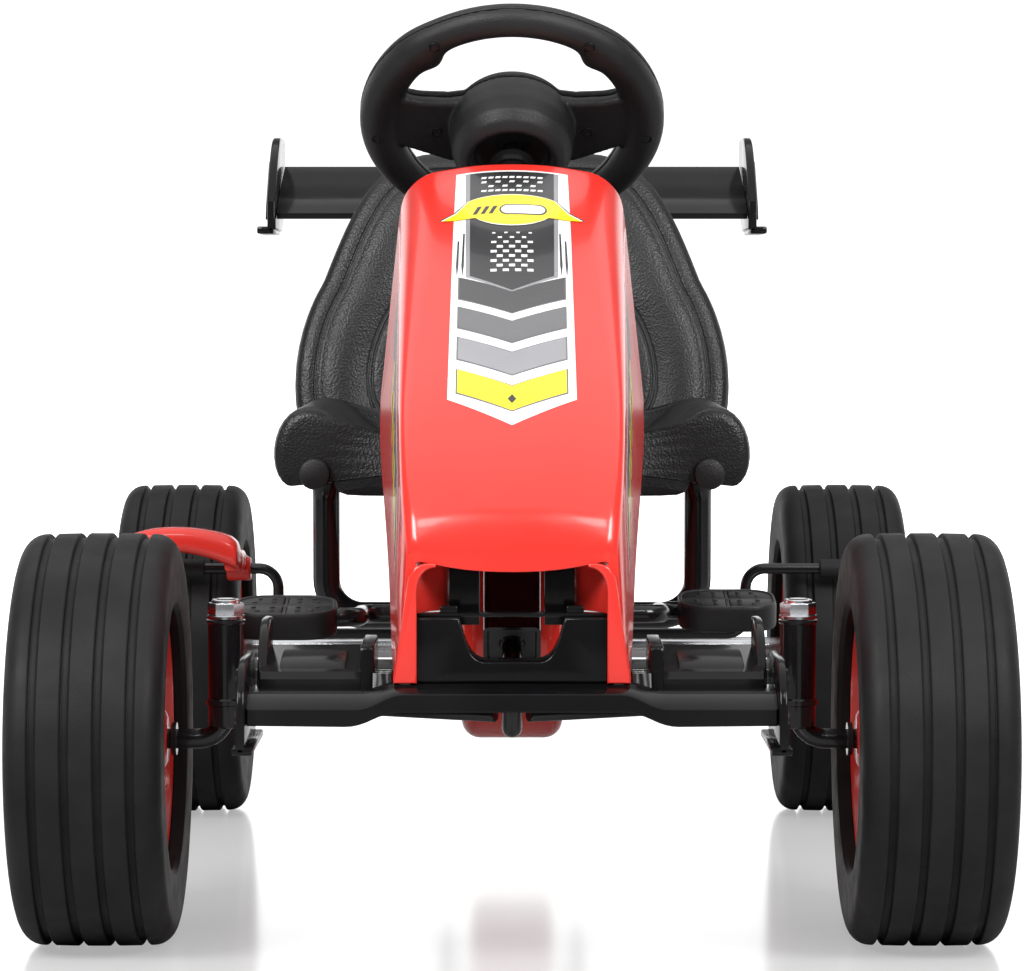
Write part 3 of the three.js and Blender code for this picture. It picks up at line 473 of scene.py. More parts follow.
def main_frame():
    """Two rails, the front cross-beam with its kingpin sleeves, brackets, gusset and weld beads."""
    low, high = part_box("main_frame")
    pin_y = joints["left_kingpin"]["pos_m"][1]
    pin_x = joints["left_kingpin"]["pos_m"][0]
    crank = Vector(joints["crank_spin"]["pos_m"])
    axle = Vector(joints["drive_axle_spin"]["pos_m"])
    brake = Vector(joints["brake_pull"]["pos_m"])
    beam_z, beam_radius, rail_z, rail_radius, rail_x = 164 * MM, 9.5 * MM, 148 * MM, 11 * MM, 50 * MM
    bm = bmesh.new()
    tube(bm, [(-pin_x + 3 * MM, pin_y, beam_z), (pin_x - 3 * MM, pin_y, beam_z)], beam_radius, sides=28)
    rear_y = high.y - rail_radius
    tube(bm, [(-rail_x, rear_y, rail_z), (rail_x, rear_y, rail_z)], beam_radius, sides=28)
    steer = Vector(joints["steer"]["pos_m"])
    slope = joints["steer"]["axis"][2] / joints["steer"]["axis"][1]

    def underside(y):
        return steer.z + (y - steer.y) * slope - 17.4 * MM / joints["steer"]["axis"][1]

    front, back = pin_y - 28 * MM, pin_y + 15 * MM
    prism(bm, [(front, beam_z), (back, beam_z), (back, underside(back)), (front, underside(front))],
          -12 * MM, 12 * MM, ALONG_X, 1.2 * MM)
    for sign in SIDES.values():
        x = sign * rail_x
        tube(bm, [(x, pin_y + 18 * MM, rail_z), (x, high.y, rail_z)], rail_radius, sides=28)
        block(bm, (x - 4 * MM, pin_y, rail_z + 3 * MM), (x + 4 * MM, pin_y + 48 * MM, beam_z + 2 * MM))
        sleeve = [(146, 6.4), (146, 12.2), (149, 12.2), (150, 11), (195, 11), (196, 11.8), (197.5, 11.8),
                  (197.5, 6.4)]
        lathe(bm, [(z * MM, r * MM) for z, r in sleeve], Matrix.Translation((sign * pin_x, pin_y, 0)), 36,
              closed=True)
        weld(bm, (sign * (pin_x - 10.5 * MM), pin_y, beam_z), (1, 0, 0), beam_radius)
        weld(bm, (x, rear_y, rail_z), (1, 0, 0), beam_radius)
        block(bm, (x - 3 * MM, crank.y - 20 * MM, rail_z), (x + 3 * MM, crank.y + 20 * MM, crank.z), 0.8 * MM)
        shell = [(-10, 13.4), (-10, 16.4), (-9.4, 17), (9.4, 17), (10, 16.4), (10, 13.4)]
        lathe(bm, [(a * MM, r * MM) for a, r in shell], Matrix.Translation((x, crank.y, crank.z)) @ ALONG_X,
              36, closed=True)
        block(bm, (x - 3 * MM, axle.y - 22 * MM, axle.z - 20 * MM), (x + 3 * MM, axle.y + 22 * MM, rail_z),
              0.8 * MM)
        tab = sign * 106 * MM
        block(bm, (tab - 10 * MM, pin_y - 90 * MM, beam_z), (tab + 10 * MM, pin_y, beam_z + 4 * MM), 0.8 * MM)
        weld(bm, (tab - 10 * MM, pin_y, beam_z), (1, 0, 0), beam_radius, 1.2 * MM)
        weld(bm, (tab + 10 * MM, pin_y, beam_z), (1, 0, 0), beam_radius, 1.2 * MM)
        lathe(bm, [(-0.012, 0.0045), (-0.012, 0.0075), (0.012, 0.0075), (0.012, 0.0045)],
              Matrix.Translation((x, brake.y, brake.z)) @ ALONG_X, 24, closed=True)
    return finished(bm, "welded_frame", PAINT, "chassis", ["main_frame"])


def seat_tube(side):
    """A tube from the rail outwards, up and forwards under the seat, with its plastic cap."""
    low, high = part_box(f"seat_tube_{side}")
    sign = SIDES[side]
    radius, bend = SEAT_TUBE["radius"], SEAT_TUBE["bend"]
    foot = low.z + radius
    top = high.z - radius
    y = high.y - radius
    outer = (high.x if sign > 0 else low.x) - sign * radius
    inner = low.x if sign > 0 else high.x
    bm = bmesh.new()
    tube(bm, [(inner, y, foot), (outer, y, foot), (outer, y, top), (outer, low.y, top)], radius, bend, 28, 12)
    rail = sign * 50 * MM
    weld(bm, (rail, y, foot - radius), (0, 0, 1), 5 * MM, 2 * MM)
    piece = finished(bm, f"seat_support_{side}", PAINT, "chassis", [f"seat_tube_{side}"])
    cap_low, cap_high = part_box(f"seat_tube_cap_{side}")
    depth = cap_high.y - cap_low.y
    bm = bmesh.new()
    profile = [(0, 0), (0, 9), (0.4, 10.4), (3, 10.5), (4.8, 9.6), (5.8, 7), (6, 0)]
    lathe(bm, [(a * depth / 6, r * MM) for a, r in profile], facing((outer, cap_high.y, top), (0, -1, 0)), 40)
    finished(bm, f"tube_end_cap_{side}", GRAIN_BLACK, "chassis", [f"seat_tube_cap_{side}"])
    return piece


main_frame()
for side in SIDES:
    seat_tube(side)


# ---------------------------------------------------------------- steering gear
def spindle(side):
    """The bent kingpin and axle in one bar, with its steering arm, collars and weld."""
    sign = SIDES[side]
    x, y, _ = joints[f"{side}_kingpin"]["pos_m"]
    low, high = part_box(f"spindle_{side}")
    outer = high.x if sign > 0 else low.x
    axle_z = joints[f"{side}_front_wheel_spin"]["pos_m"][2]
    arm_y = joints[f"{side}_tie_rod_eye"]["pos_m"][1]
    bm = bmesh.new()
    tube(bm, [(x, y, high.z), (x, y, axle_z), (outer, y, axle_z)], 6 * MM, 17 * MM, 24, 10)
    arm = 133 * MM
    outline = (arc((0, 0), 10 * MM, 180, 360, 10) + arc((0, arm_y - y), 8 * MM, 0, 180, 10))
    prism(bm, outline, arm, arm + 4 * MM, Matrix.Translation((x, y, 0)), 0.6 * MM)
    lathe(bm, [(arm, 0), (arm, 4 * MM), (arm + 13 * MM, 4 * MM), (arm + 14 * MM, 3 * MM), (arm + 14 * MM, 0)],
          Matrix.Translation((x, arm_y, 0)), 20)
    lathe(bm, [(arm, 6 * MM), (arm, 11 * MM), (145.6 * MM, 11 * MM), (145.6 * MM, 6 * MM)],
          Matrix.Translation((x, y, 0)), 36)
    collar_x = sign * (WHEEL_INNER + 2 * MM)
    weld(bm, (x, y, arm), (0, 0, 1), 6 * MM, 1.4 * MM)
    lathe(bm, [(-1.5 * MM, 6 * MM), (-1.5 * MM, 10 * MM), (1.5 * MM, 10 * MM), (1.5 * MM, 6 * MM)],
          Matrix.Translation((collar_x, y, axle_z)) @ ALONG_X, 32)
    finished(bm, f"bent_spindle_{side}", PAINT, f"{side}_spindle", [f"spindle_{side}"])


WHEEL_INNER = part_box("tyre_front_left")[0].x


def kingpin_nut(side):
    """A nut with chamfered corners and a nylon collar, on a washer."""
    x, y, _ = joints[f"{side}_kingpin"]["pos_m"]
    low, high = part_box(f"kingpin_nut_{side}")
    bm = bmesh.new()
    place = Matrix.Translation((x, y, 0))
    hexagon = [(11 * MM * math.cos(math.radians(60 * i)), 11 * MM * math.sin(math.radians(60 * i)))
               for i in range(6)]
    prism(bm, hexagon, low.z + 2.4 * MM, high.z - 2 * MM, place, 0.7 * MM, 3)
    lathe(bm, [(low.z, 6.4 * MM), (low.z, 11.2 * MM), (low.z + 0.3 * MM, 11.5 * MM),
               (low.z + 2 * MM, 11.5 * MM),
               (low.z + 2.4 * MM, 11.1 * MM), (low.z + 2.4 * MM, 6.4 * MM)], place, 40, closed=True)
    lathe(bm, [(high.z - 2.4 * MM, 6.4 * MM), (high.z - 2.4 * MM, 8.8 * MM), (high.z - 0.6 * MM, 8.6 * MM),
               (high.z, 7.8 * MM), (high.z, 6.4 * MM)], place, 40, closed=True)
    finished(bm, f"lock_nut_{side}", ZINC, f"{side}_spindle", [f"kingpin_nut_{side}"])


def tie_rod(side):
    """The rod from a spindle's arm to the middle, with the ring of its eye."""
    sign = SIDES[side]
    x, y, z = joints[f"{side}_tie_rod_eye"]["pos_m"]
    low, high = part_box(f"tie_rod_{side}")
    inner = low.x if sign > 0 else high.x
    bm = bmesh.new()
    tube(bm, [(x - sign * 7 * MM, y - 5 * MM, z), (inner, low.y + 3.4 * MM, z + 2 * MM)], 4 * MM, sides=20)
    lathe(bm, [(z - 3 * MM, 4.5 * MM), (z - 3 * MM, 8.4 * MM), (z - 2.4 * MM, 9 * MM), (z + 2.4 * MM, 9 * MM),
               (z + 3 * MM, 8.4 * MM), (z + 3 * MM, 4.5 * MM)], Matrix.Translation((x, y, 0)), 32,
               closed=True)
    finished(bm, f"steering_tie_rod_{side}", PAINT, f"{side}_tie_rod", [f"tie_rod_{side}"])


for side in SIDES:
    spindle(side)
    kingpin_nut(side)
    tie_rod(side)

STEER_AXIS = Vector(joints["steer"]["axis"]).normalized()
COLUMN = Matrix.Translation(Vector(joints["steer"]["pos_m"])) @ Matrix((
    Vector((1, 0, 0)), STEER_AXIS.cross(Vector((1, 0, 0))), STEER_AXIS)).transposed().to_4x4()


def remeshed(piece, voxel, rounds=6, factor=0.5):
    """Melts overlapping solids into one skin and softens the places where they meet."""
    bpy.context.view_layer.objects.active = piece
    merge = piece.modifiers.new("merge", "REMESH")
    merge.mode = "VOXEL"
    merge.voxel_size = voxel
    merge.use_smooth_shade = True
    relax = piece.modifiers.new("relax", "SMOOTH")
    relax.factor = factor
    relax.iterations = rounds
    return piece


RING = 88.5 * MM


def grip_size(angle):
    """Half thickness of the ring: fuller below the thumb rests at ten and two o'clock."""
    turned = abs((math.degrees(angle) + 90 + 180) % 360 - 180)   # 0 at the top of the wheel
    step = 1 / (1 + math.exp(-(turned - 38) / 3.5)) - 1 / (1 + math.exp(-(turned - 128) / 7))
    thumb = math.exp(-((turned - 42) / 6) ** 2)
    return (10.8 + 2 * step) * MM, (1.6 * step + 5.2 * thumb) * MM


def wheel_half(name, node, top):
    """One moulded half of the steering wheel: ring, two spokes and boss, parted at the ring's middle."""
    sign = 1 if top else -1
    bm = bmesh.new()
    count = 120
    rings = []
    for i in range(count):
        angle = 2 * math.pi * i / count
        size, inward = grip_size(angle)
        row = []
        for j in range(17):
            turn = math.pi * j / 16
            reach = RING + size * math.cos(turn) - (inward if math.cos(turn) < 0 else 0) * abs(math.cos(turn))
            row.append(bm.verts.new(COLUMN @ Vector((
                reach * math.cos(angle), reach * math.sin(angle),
                sign * (0.2 * MM + size * math.sin(turn))))))
        rings.append(row)
    for first, second in zip(rings, rings[1:] + rings[:1]):
        strip(bm, first, second)
    spoke = [(24, 34), (42, 33), (60, 25), (76, 18), (84, 10), (86, -10), (80, -32), (72, -25), (60, -22),
             (42, -21), (24, -24)]
    for x in (-1, 1):
        z0, z1 = (0.2 * MM, 5.5 * MM) if top else (-8.4 * MM, -0.2 * MM)
        prism(bm, millimetres([(x * a, b) for a, b in spoke]), z0, z1, COLUMN, 2.5 * MM, 3)
    if top:
        boss = [(0.2, 0), (0.2, 38.5), (4, 38.2), (9, 34.5), (13, 29), (16.2, 25.5), (16.2, 0)]
    else:
        boss = [(-0.2, 0), (-0.2, 39), (-8, 40.5), (-20, 41), (-31, 39.5), (-38, 35), (-41, 30),
                (-41.5, 27.5), (-39.5, 25.5), (-30, 24), (-30, 0)]
    lathe(bm, [(z * MM, r * MM) for z, r in boss], COLUMN, 64)
    piece = finished(bm, name, GRAIN_BLACK, "steering", [node])
    return remeshed(piece, 1.3 * MM, 5)


def wheel_screws():
    """Recessed screws on the front side of the steering wheel."""
    for number, (x, y, depth) in enumerate(((50, -75, -11.6), (89, 7, -12.4), (50, 5, -8.3))):
        spots = [COLUMN @ Matrix.Translation((side * x * MM, y * MM, depth * MM)) for side in (-1, 1)]
        bm = bmesh.new()
        for spot in spots:
            lathe(bm, [(-1 * MM, 0), (-1 * MM, 4 * MM), (0.4 * MM, 4 * MM), (0.6 * MM, 3.7 * MM),
                       (0.4 * MM, 3.1 * MM),
                       (-0.8 * MM, 2.8 * MM), (-0.8 * MM, 0)], spot @ Matrix.Rotation(math.pi, 4, "X"), 24)
        finished(bm, f"wheel_screw_recess_{number}", GLOSS_BLACK, "steering")


def steering_parts():
    """The wheel's halves, cap and collar, and the column with the U bend at its lower end."""
    wheel_half("wheel_shell_upper", "steering_wheel_upper", True)
    wheel_half("wheel_shell_lower", "steering_wheel_lower", False)
    wheel_screws()
    bm = bmesh.new()
    cap = [(16.3, 0), (16.3, 24), (17.2, 24), (19.5, 22), (21.6, 17), (23, 9), (23.5, 0)]
    lathe(bm, [(z * MM, r * MM) for z, r in cap], COLUMN, 48)
    finished(bm, "horn_cap", GLOSS_BLACK, "steering", ["steering_hub_cap"])
    bm = bmesh.new()
    collar = [(-62, 8.4), (-62, 12.4), (-61, 13), (-55, 13.4), (-54, 12.2), (-52, 12.2), (-51, 13.8),
              (-44, 15), (-43, 14.4), (-43, 8.4)]
    lathe(bm, [(z * MM, r * MM) for z, r in collar], COLUMN, 40, closed=True)
    finished(bm, "ribbed_collar", GLOSS_BLACK, "steering", ["column_collar"])
    bm = bmesh.new()
    rod = [COLUMN @ Vector((0, 0, z * MM)) for z in (-6, -440)]
    tube(bm, rod, 8 * MM, sides=28)
    bottom = -478 * MM
    bend = [(0, 0, -436 * MM), (0, 0, bottom), (0, 40 * MM, bottom), (0, 40 * MM, bottom + 34 * MM)]
    tube(bm, [COLUMN @ Vector(point) for point in bend], 6 * MM, 14 * MM, 24, 10)
    finished(bm, "bent_column", PAINT, "steering", ["steering_column"])


steering_parts()


# ---------------------------------------------------------------- drive
PEDAL_LEAN = math.radians(8)


def crank():
    """A crank bent from one bar, with a collar on either side."""
    centre = Vector(joints["crank_spin"]["pos_m"])
    bm = bmesh.new()
    left, right = (Vector(joints[f"{side}_pedal_spin"]["pos_m"]) - centre for side in ("left", "right"))
    end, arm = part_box("pedal_crank")[1].x, 97 * MM
    corners = [(-end, right.y, right.z), (-arm, right.y, right.z), (-arm, 0, 0), (arm, 0, 0),
               (arm, left.y, left.z), (end, left.y, left.z)]
    tube(bm, [centre + Vector(corner) for corner in corners], 6 * MM, 13 * MM, 24, 10)
    for sign in SIDES.values():
        lathe(bm, [(-1.5 * MM, 6 * MM), (-1.5 * MM, 10 * MM), (1.5 * MM, 10 * MM), (1.5 * MM, 6 * MM)],
              Matrix.Translation(centre + Vector((sign * 62 * MM, 0, 0))) @ ALONG_X, 28)
    finished(bm, "bent_crank", PAINT, "crankset", ["pedal_crank"])


def pedal(side):
    """A rounded band round four tread plates, which a cross-shaped gap divides, above and below the hub."""
    low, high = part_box(f"pedal_{side}")
    place = (Matrix.Translation(Vector(joints[f"{side}_pedal_spin"]["pos_m"]))
             @ Matrix.Rotation(PEDAL_LEAN, 4, "X"))
    width, length, half, corner, wall = (high.x - low.x), 56 * MM, 8.5 * MM, 20 * MM, 3.2 * MM
    bm = bmesh.new()
    loops = []
    for inset_by, z in ((0.3, -0.86), (0, -0.7), (0, 0.7), (0.3, 0.86), (0.8, 1), (2.2, 1), (3.2, 0.86),
                        (3.2, -0.86), (2.2, -1), (0.8, -1)):
        line = rounded(width - 2 * inset_by * MM, length - 2 * inset_by * MM, corner - inset_by * MM, 8)
        loops.append([bm.verts.new(place @ Vector((a, b, z * half))) for a, b in line])
    for first, second in zip(loops, loops[1:] + loops[:1]):
        strip(bm, first, second)
    gap, x1, y1, bend = 1.5 * MM, width / 2 - wall + 0.4 * MM, length / 2 - wall + 0.4 * MM, corner - wall
    quarter = [(gap, gap), (x1, gap)] + arc((x1 - bend, y1 - bend), bend, 0, 90, 8) + [(gap, y1)]
    for sx in (-1, 1):
        for sy in (-1, 1):
            plate = [(sx * a, sy * b) for a, b in quarter]
            prism(bm, plate, half - 3.4 * MM, half - 0.5 * MM, place, 0.7 * MM)
            prism(bm, plate, 0.5 * MM - half, 3.4 * MM - half, place, 0.7 * MM)
            for x, y in ((8, 7), (20, 7), (8, 17), (17, 17)):
                stud = [(half - 0.6 * MM, 1.7 * MM), (half + 0.1 * MM, 1.5 * MM), (half + 0.4 * MM, 0)]
                lathe(bm, stud, place @ Matrix.Translation((sx * x * MM, sy * y * MM, 0)), 12)
    for x in (-15, 0, 15):
        block(bm, ((x - 1.2) * MM, -length / 2 + wall, 1 * MM - half),
              ((x + 1.2) * MM, length / 2 - wall, half - 1 * MM),
              0.4 * MM, 1, place)
    lathe(bm, [(1 * MM - width / 2, 6.4 * MM), (1 * MM - width / 2, 7.9 * MM), (width / 2 - 1 * MM, 7.9 * MM),
               (width / 2 - 1 * MM, 6.4 * MM)], place @ ALONG_X, 28, closed=True)
    finished(bm, f"ribbed_pedal_{side}", GRAIN_BLACK, f"{side}_pedal", [f"pedal_{side}"])


def frame_ring(bm, outer, inner, z0, z1, place):
    """A flat ring between two outlines with the same number of points."""
    loops = [[bm.verts.new(place @ Vector((a, b, z))) for a, b in points]
             for points, z in ((outer, z0), (outer, z1), (inner, z1), (inner, z0))]
    for first, second in zip(loops, loops[1:] + loops[:1]):
        strip(bm, first, second)


def belt(front, rear, centre, end, steps=36):
    """The outline of a belt round two circles, as (y, z) points, starting at the top of the front one."""
    along = end - centre
    lean = math.asin((front - rear) / along.length)
    heading = math.atan2(along.y, along.x)
    upper = math.degrees(heading + math.pi / 2 - lean)
    lower = math.degrees(heading - math.pi / 2 + lean)
    return (arc(centre, front, upper, lower + 360, steps) + arc(end, rear, lower, upper, steps))


def chain_guard(side):
    """One half of the guard: a side face with rounded edges, a stiffening step and screws."""
    sign = SIDES[side]
    low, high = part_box(f"chain_guard_{side}")
    crank_at, axle_at = joints["crank_spin"]["pos_m"], joints["drive_axle_spin"]["pos_m"]
    centre, end = Vector(crank_at[1:]), Vector(axle_at[1:])
    outer = max(abs(low.x), abs(high.x))
    front, rear = 80 * MM, 52 * MM
    corner = 12 * MM
    rows = []
    for x, inset in [(0.2 * MM, 0)] + [
            (outer - corner + corner * math.sin(a), corner * (1 - math.cos(a)))
            for a in (math.radians(90 * i / 8) for i in range(9))] + [
            (outer, 20 * MM), (outer - 1.6 * MM, 22 * MM), (outer - 1.6 * MM, 30 * MM)]:
        rows.append([Vector((sign * x, y, z)) for y, z in belt(front - inset, rear - inset, centre, end)])
    inside = []
    for x, inset in ((outer - 4.2 * MM, 30 * MM), (outer - 4.2 * MM, 12 * MM), (outer - 12 * MM, 2.6 * MM),
                     (0.2 * MM, 2.6 * MM)):
        inside.append([Vector((sign * x, y, z))
                       for y, z in belt(front - inset, rear - inset, centre, end)])
    bm = bmesh.new()
    loops = loft(bm, rows + inside, closed=True)
    strip(bm, loops[-1], loops[0])
    panel_rows = loops[len(rows) - 1], loops[len(rows)]
    for loop, flip in zip(panel_rows, (1, -1)):
        bm.faces.new(loop if flip > 0 else list(reversed(loop)))
    piece = finished(bm, f"guard_half_{side}", RED, "chassis", [f"chain_guard_{side}"], angle=30)
    bm = bmesh.new()
    for place_yz in ((centre.x - 52 * MM, centre.y + 20 * MM), (centre.x - 20 * MM, centre.y - 50 * MM),
                     (end.x + 34 * MM, end.y - 10 * MM),
                     (0.5 * (centre.x + end.x), 0.5 * (centre.y + end.y) + 44 * MM)):
        screw(bm, facing((sign * (outer - 0.2 * MM), *place_yz), (sign, 0, 0)), 4 * MM)
    finished(bm, f"guard_screws_{side}", ZINC, "chassis")
    return piece


def rear_axle():
    """One bar through both rear wheels."""
    low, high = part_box("rear_axle")
    centre = (low + high) / 2
    radius = (high.z - low.z) / 2
    bm = bmesh.new()
    tube(bm, [(low.x, centre.y, centre.z), (high.x, centre.y, centre.z)], radius, sides=36)
    finished(bm, "axle_rod", ZINC, "drive_axle", ["rear_axle"])


crank()
rear_axle()
for side in SIDES:
    pedal(side)
    chain_guard(side)


# ---------------------------------------------------------------- brake
def brake():
    """The bail that swings back, a sleeve on either end, and the hand lever."""
    low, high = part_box("brake_bail")
    y = (low.y + high.y) / 2
    pivot_z = joints["brake_pull"]["pos_m"][2]
    rod_z = high.z - 4 * MM
    knee = 172 * MM
    bm = bmesh.new()
    tube(bm, [(low.x, y, rod_z), (-knee, y, rod_z), (-knee, y, pivot_z), (knee, y, pivot_z), (knee, y, rod_z),
              (high.x, y, rod_z)], 4 * MM, 14 * MM, 20, 10)
    finished(bm, "brake_rod", PAINT, "brake", ["brake_bail"])
    for side, sign in SIDES.items():
        sleeve_low, sleeve_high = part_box(f"brake_sleeve_{side}")
        x0, x1 = (sleeve_low.x, sleeve_high.x) if sign > 0 else (sleeve_high.x, sleeve_low.x)
        bm = bmesh.new()
        length = abs(x1 - x0)
        profile = [(0, 4.4 * MM), (0, 6.2 * MM), (1 * MM, 7 * MM), (length - 1 * MM, 7 * MM),
                   (length, 6.2 * MM), (length, 4.4 * MM)]
        place = Matrix.Translation((x0, y, rod_z)) @ Matrix.Diagonal((sign, 1, 1, 1)) @ ALONG_X
        lathe(bm, profile, place, 36, closed=True)
        finished(bm, f"rubber_sleeve_{side}", RUBBER, "brake", [f"brake_sleeve_{side}"])
    brake_handle(y, rod_z)


def brake_handle(y, rod_z):
    """A moulded lever with an arched underside and a rounded end, clamped on the rod."""
    spine = [(-198, 204, 9), (-206, 209, 11), (-222, 214, 10), (-242, 217, 9), (-262, 216, 9), (-277, 213, 8),
             (-283, 212, 6)]
    bm = bmesh.new()
    rows = []
    for i in range(25):
        x, z, size = spline(spine, i / 24)
        shut = 1 if 0 < i < 24 else 0.55
        section = rounded(28 * MM * shut, 2 * size * MM * shut, 0.8 * size * MM * shut, 5)
        rows.append([Vector((x * MM, y - 26 * MM + across, z * MM + up)) for across, up in section])
    loft(bm, rows, closed=True, caps=True)
    block(bm, (-210 * MM, y - 30 * MM, 193 * MM), (-196 * MM, y + 4 * MM, 208 * MM), 3 * MM, 3)
    lathe(bm, [(-8 * MM, 4.3 * MM), (-8 * MM, 8.4 * MM), (-6 * MM, 9 * MM), (8 * MM, 9 * MM),
               (10 * MM, 8.4 * MM),
               (10 * MM, 4.3 * MM)], Matrix.Translation((-202 * MM, y, rod_z)) @ ALONG_X, 32, closed=True)
    piece = finished(bm, "hand_lever", RED, "brake", ["brake_handle"])
    remeshed(piece, 1.2 * MM, 5)
    bm = bmesh.new()
    for x in (-209, -197):
        screw(bm, facing((x * MM, y - 2 * MM, rod_z + 8.6 * MM), (0, -0.3, 1)), 2.4 * MM)
    finished(bm, "lever_screws", ZINC, "brake")


brake()


# ---------------------------------------------------------------- nose cowl
NOSE_LINE = [(-465, 237), (-464, 256), (-455, 277), (-432, 301), (-385, 334), (-310, 379), (-215, 434),
             (-130, 480)]
NOSE_HEM = [(68, -462, 174), (68.5, -440, 174), (70, -405, 176), (76, -300, 232), (84, -195, 292),
            (86, -140, 322)]


def lerp(first, second, share):
    """The value a share of the way from first to second."""
    return first + (second - first) * share


def smooth_step(value, low, high):
    """Rises from 0 to 1 between low and high, without corners."""
    share = min(max((value - low) / (high - low), 0), 1)
    return share * share * (3 - 2 * share)


def nose_half(share):
    """Half a cross-section of the nose: crowned top, a shoulder rounder to the rear, a flat side."""
    y, z = spline(NOSE_LINE, share)
    hem = spline(NOSE_HEM, share)
    crease = lerp(58, 73.5, share)
    corner = lerp(7, 30, smooth_step(share, 0.5, 1))
    drop = min(lerp(-6, 40, share), lerp(3, 4, share))
    flat = crease - corner
    points = [Vector((flat * u, y + u, z - drop * u ** 2.4)) for u in (0, 0.25, 0.5, 0.75, 1)]
    points += [Vector((flat + corner * math.sin(a), y + 1 + 2 * a, z - drop - corner * (1 - math.cos(a))))
               for a in (math.radians(15 * i) for i in range(1, 6))]
    foot = points[-1]
    return points + [foot.lerp(hem, part) for part in (0.12, 0.35, 0.65, 0.93, 1)]


def nose_cowl():
    """The bent sheet of the nose, 3 mm thick and open below and behind."""
    shares = [0, 0.006, 0.02] + [i / 26 for i in range(1, 26)] + [0.985, 0.996, 1]
    rows = []
    for share in shares:
        half = nose_half(share)
        rows.append([Vector((-p.x, p.y, p.z)) * MM for p in reversed(half[1:])] + [p * MM for p in half])
    bm = bmesh.new()
    loft(bm, rows)
    piece = finished(bm, "nose_shell", RED, "chassis", ["nose_cowl"], angle=180)
    upward = max(piece.data.polygons, key=lambda face: face.center.z).normal.z > 0
    wall = piece.modifiers.new("wall", "SOLIDIFY")
    wall.thickness = 3 * MM
    wall.offset = -1 if upward else 1
    smooth = piece.modifiers.new("smooth", "SUBSURF")
    smooth.levels = smooth.render_levels = 2
    return piece


def surface_of(piece):
    """A tree for finding points on a piece's finished skin."""
    bpy.context.view_layer.update()
    return BVHTree.FromObject(piece, bpy.context.evaluated_depsgraph_get())


def inside(point, outline):
    """Whether a point lies within a closed outline."""
    crossings = False
    for (x0, y0), (x1, y1) in zip(outline, outline[1:] + outline[:1]):
        if (y0 > point[1]) != (y1 > point[1]) and point[0] < x0 + (point[1] - y0) * (x1 - x0) / (y1 - y0):
            crossings = not crossings
    return crossings


def sticker(name, finish, outlines, project, layer, step=4.0):
    """A thin printed film: flat outlines in millimetres laid on a surface by project(a, b, lift)."""
    lift = (0.12 + 0.1 * layer) * MM
    bm = bmesh.new()
    for outline in outlines:
        edge = []
        for (x0, y0), (x1, y1) in zip(outline, outline[1:] + outline[:1]):
            parts = max(1, math.ceil(math.dist((x0, y0), (x1, y1)) / step))
            edge += [Vector((lerp(x0, x1, i / parts), lerp(y0, y1, i / parts))) for i in range(parts)]
        low = [min(point[i] for point in outline) for i in range(2)]
        high = [max(point[i] for point in outline) for i in range(2)]
        grid = [Vector((x * step, y * step))
                for x in range(math.ceil(low[0] / step), math.floor(high[0] / step) + 1)
                for y in range(math.ceil(low[1] / step), math.floor(high[1] / step) + 1)]
        grid = [p for p in grid if inside(p, outline) and min((p - e).length for e in edge) > step * 0.4]
        count = len(edge)
        ring = [(i, (i + 1) % count) for i in range(count)]
        flat, _, faces, *_ = delaunay_2d_cdt(edge + grid, ring, [], 1, 1e-5)
        placed = [bm.verts.new(project(point.x, point.y, lift)) for point in flat]
        for face in faces:
            bm.faces.new([placed[i] for i in face])
    piece = finished(bm, name, finish, "chassis", angle=180)
    film = piece.modifiers.new("film", "SOLIDIFY")
    film.thickness = 0.1 * MM
    film.offset = 0
    return piece


def chevron(half, outer_top, outer_bottom, point_drop, grow=0.0):
    """A band across the nose whose middle points forward; the arguments are Y positions."""
    return [(-half - grow, outer_top + grow), (0, outer_top - point_drop + grow),
            (half + grow, outer_top + grow),
            (half + grow, outer_bottom - grow), (0, outer_bottom - point_drop - grow),
            (-half - grow, outer_bottom - grow)]


def mirrored(outlines):
    """The outlines with their mirror images across the middle line."""
    return outlines + [[(-x, y) for x, y in reversed(outline)] for outline in outlines]


def box_outline(x, y, width, height, slant=0.0):
    """A box about (x, y), leaning to the right by twice the slant."""
    return [(x - width / 2 - slant, y - height / 2), (x + width / 2 - slant, y - height / 2),
            (x + width / 2 + slant, y + height / 2), (x - width / 2 + slant, y + height / 2)]


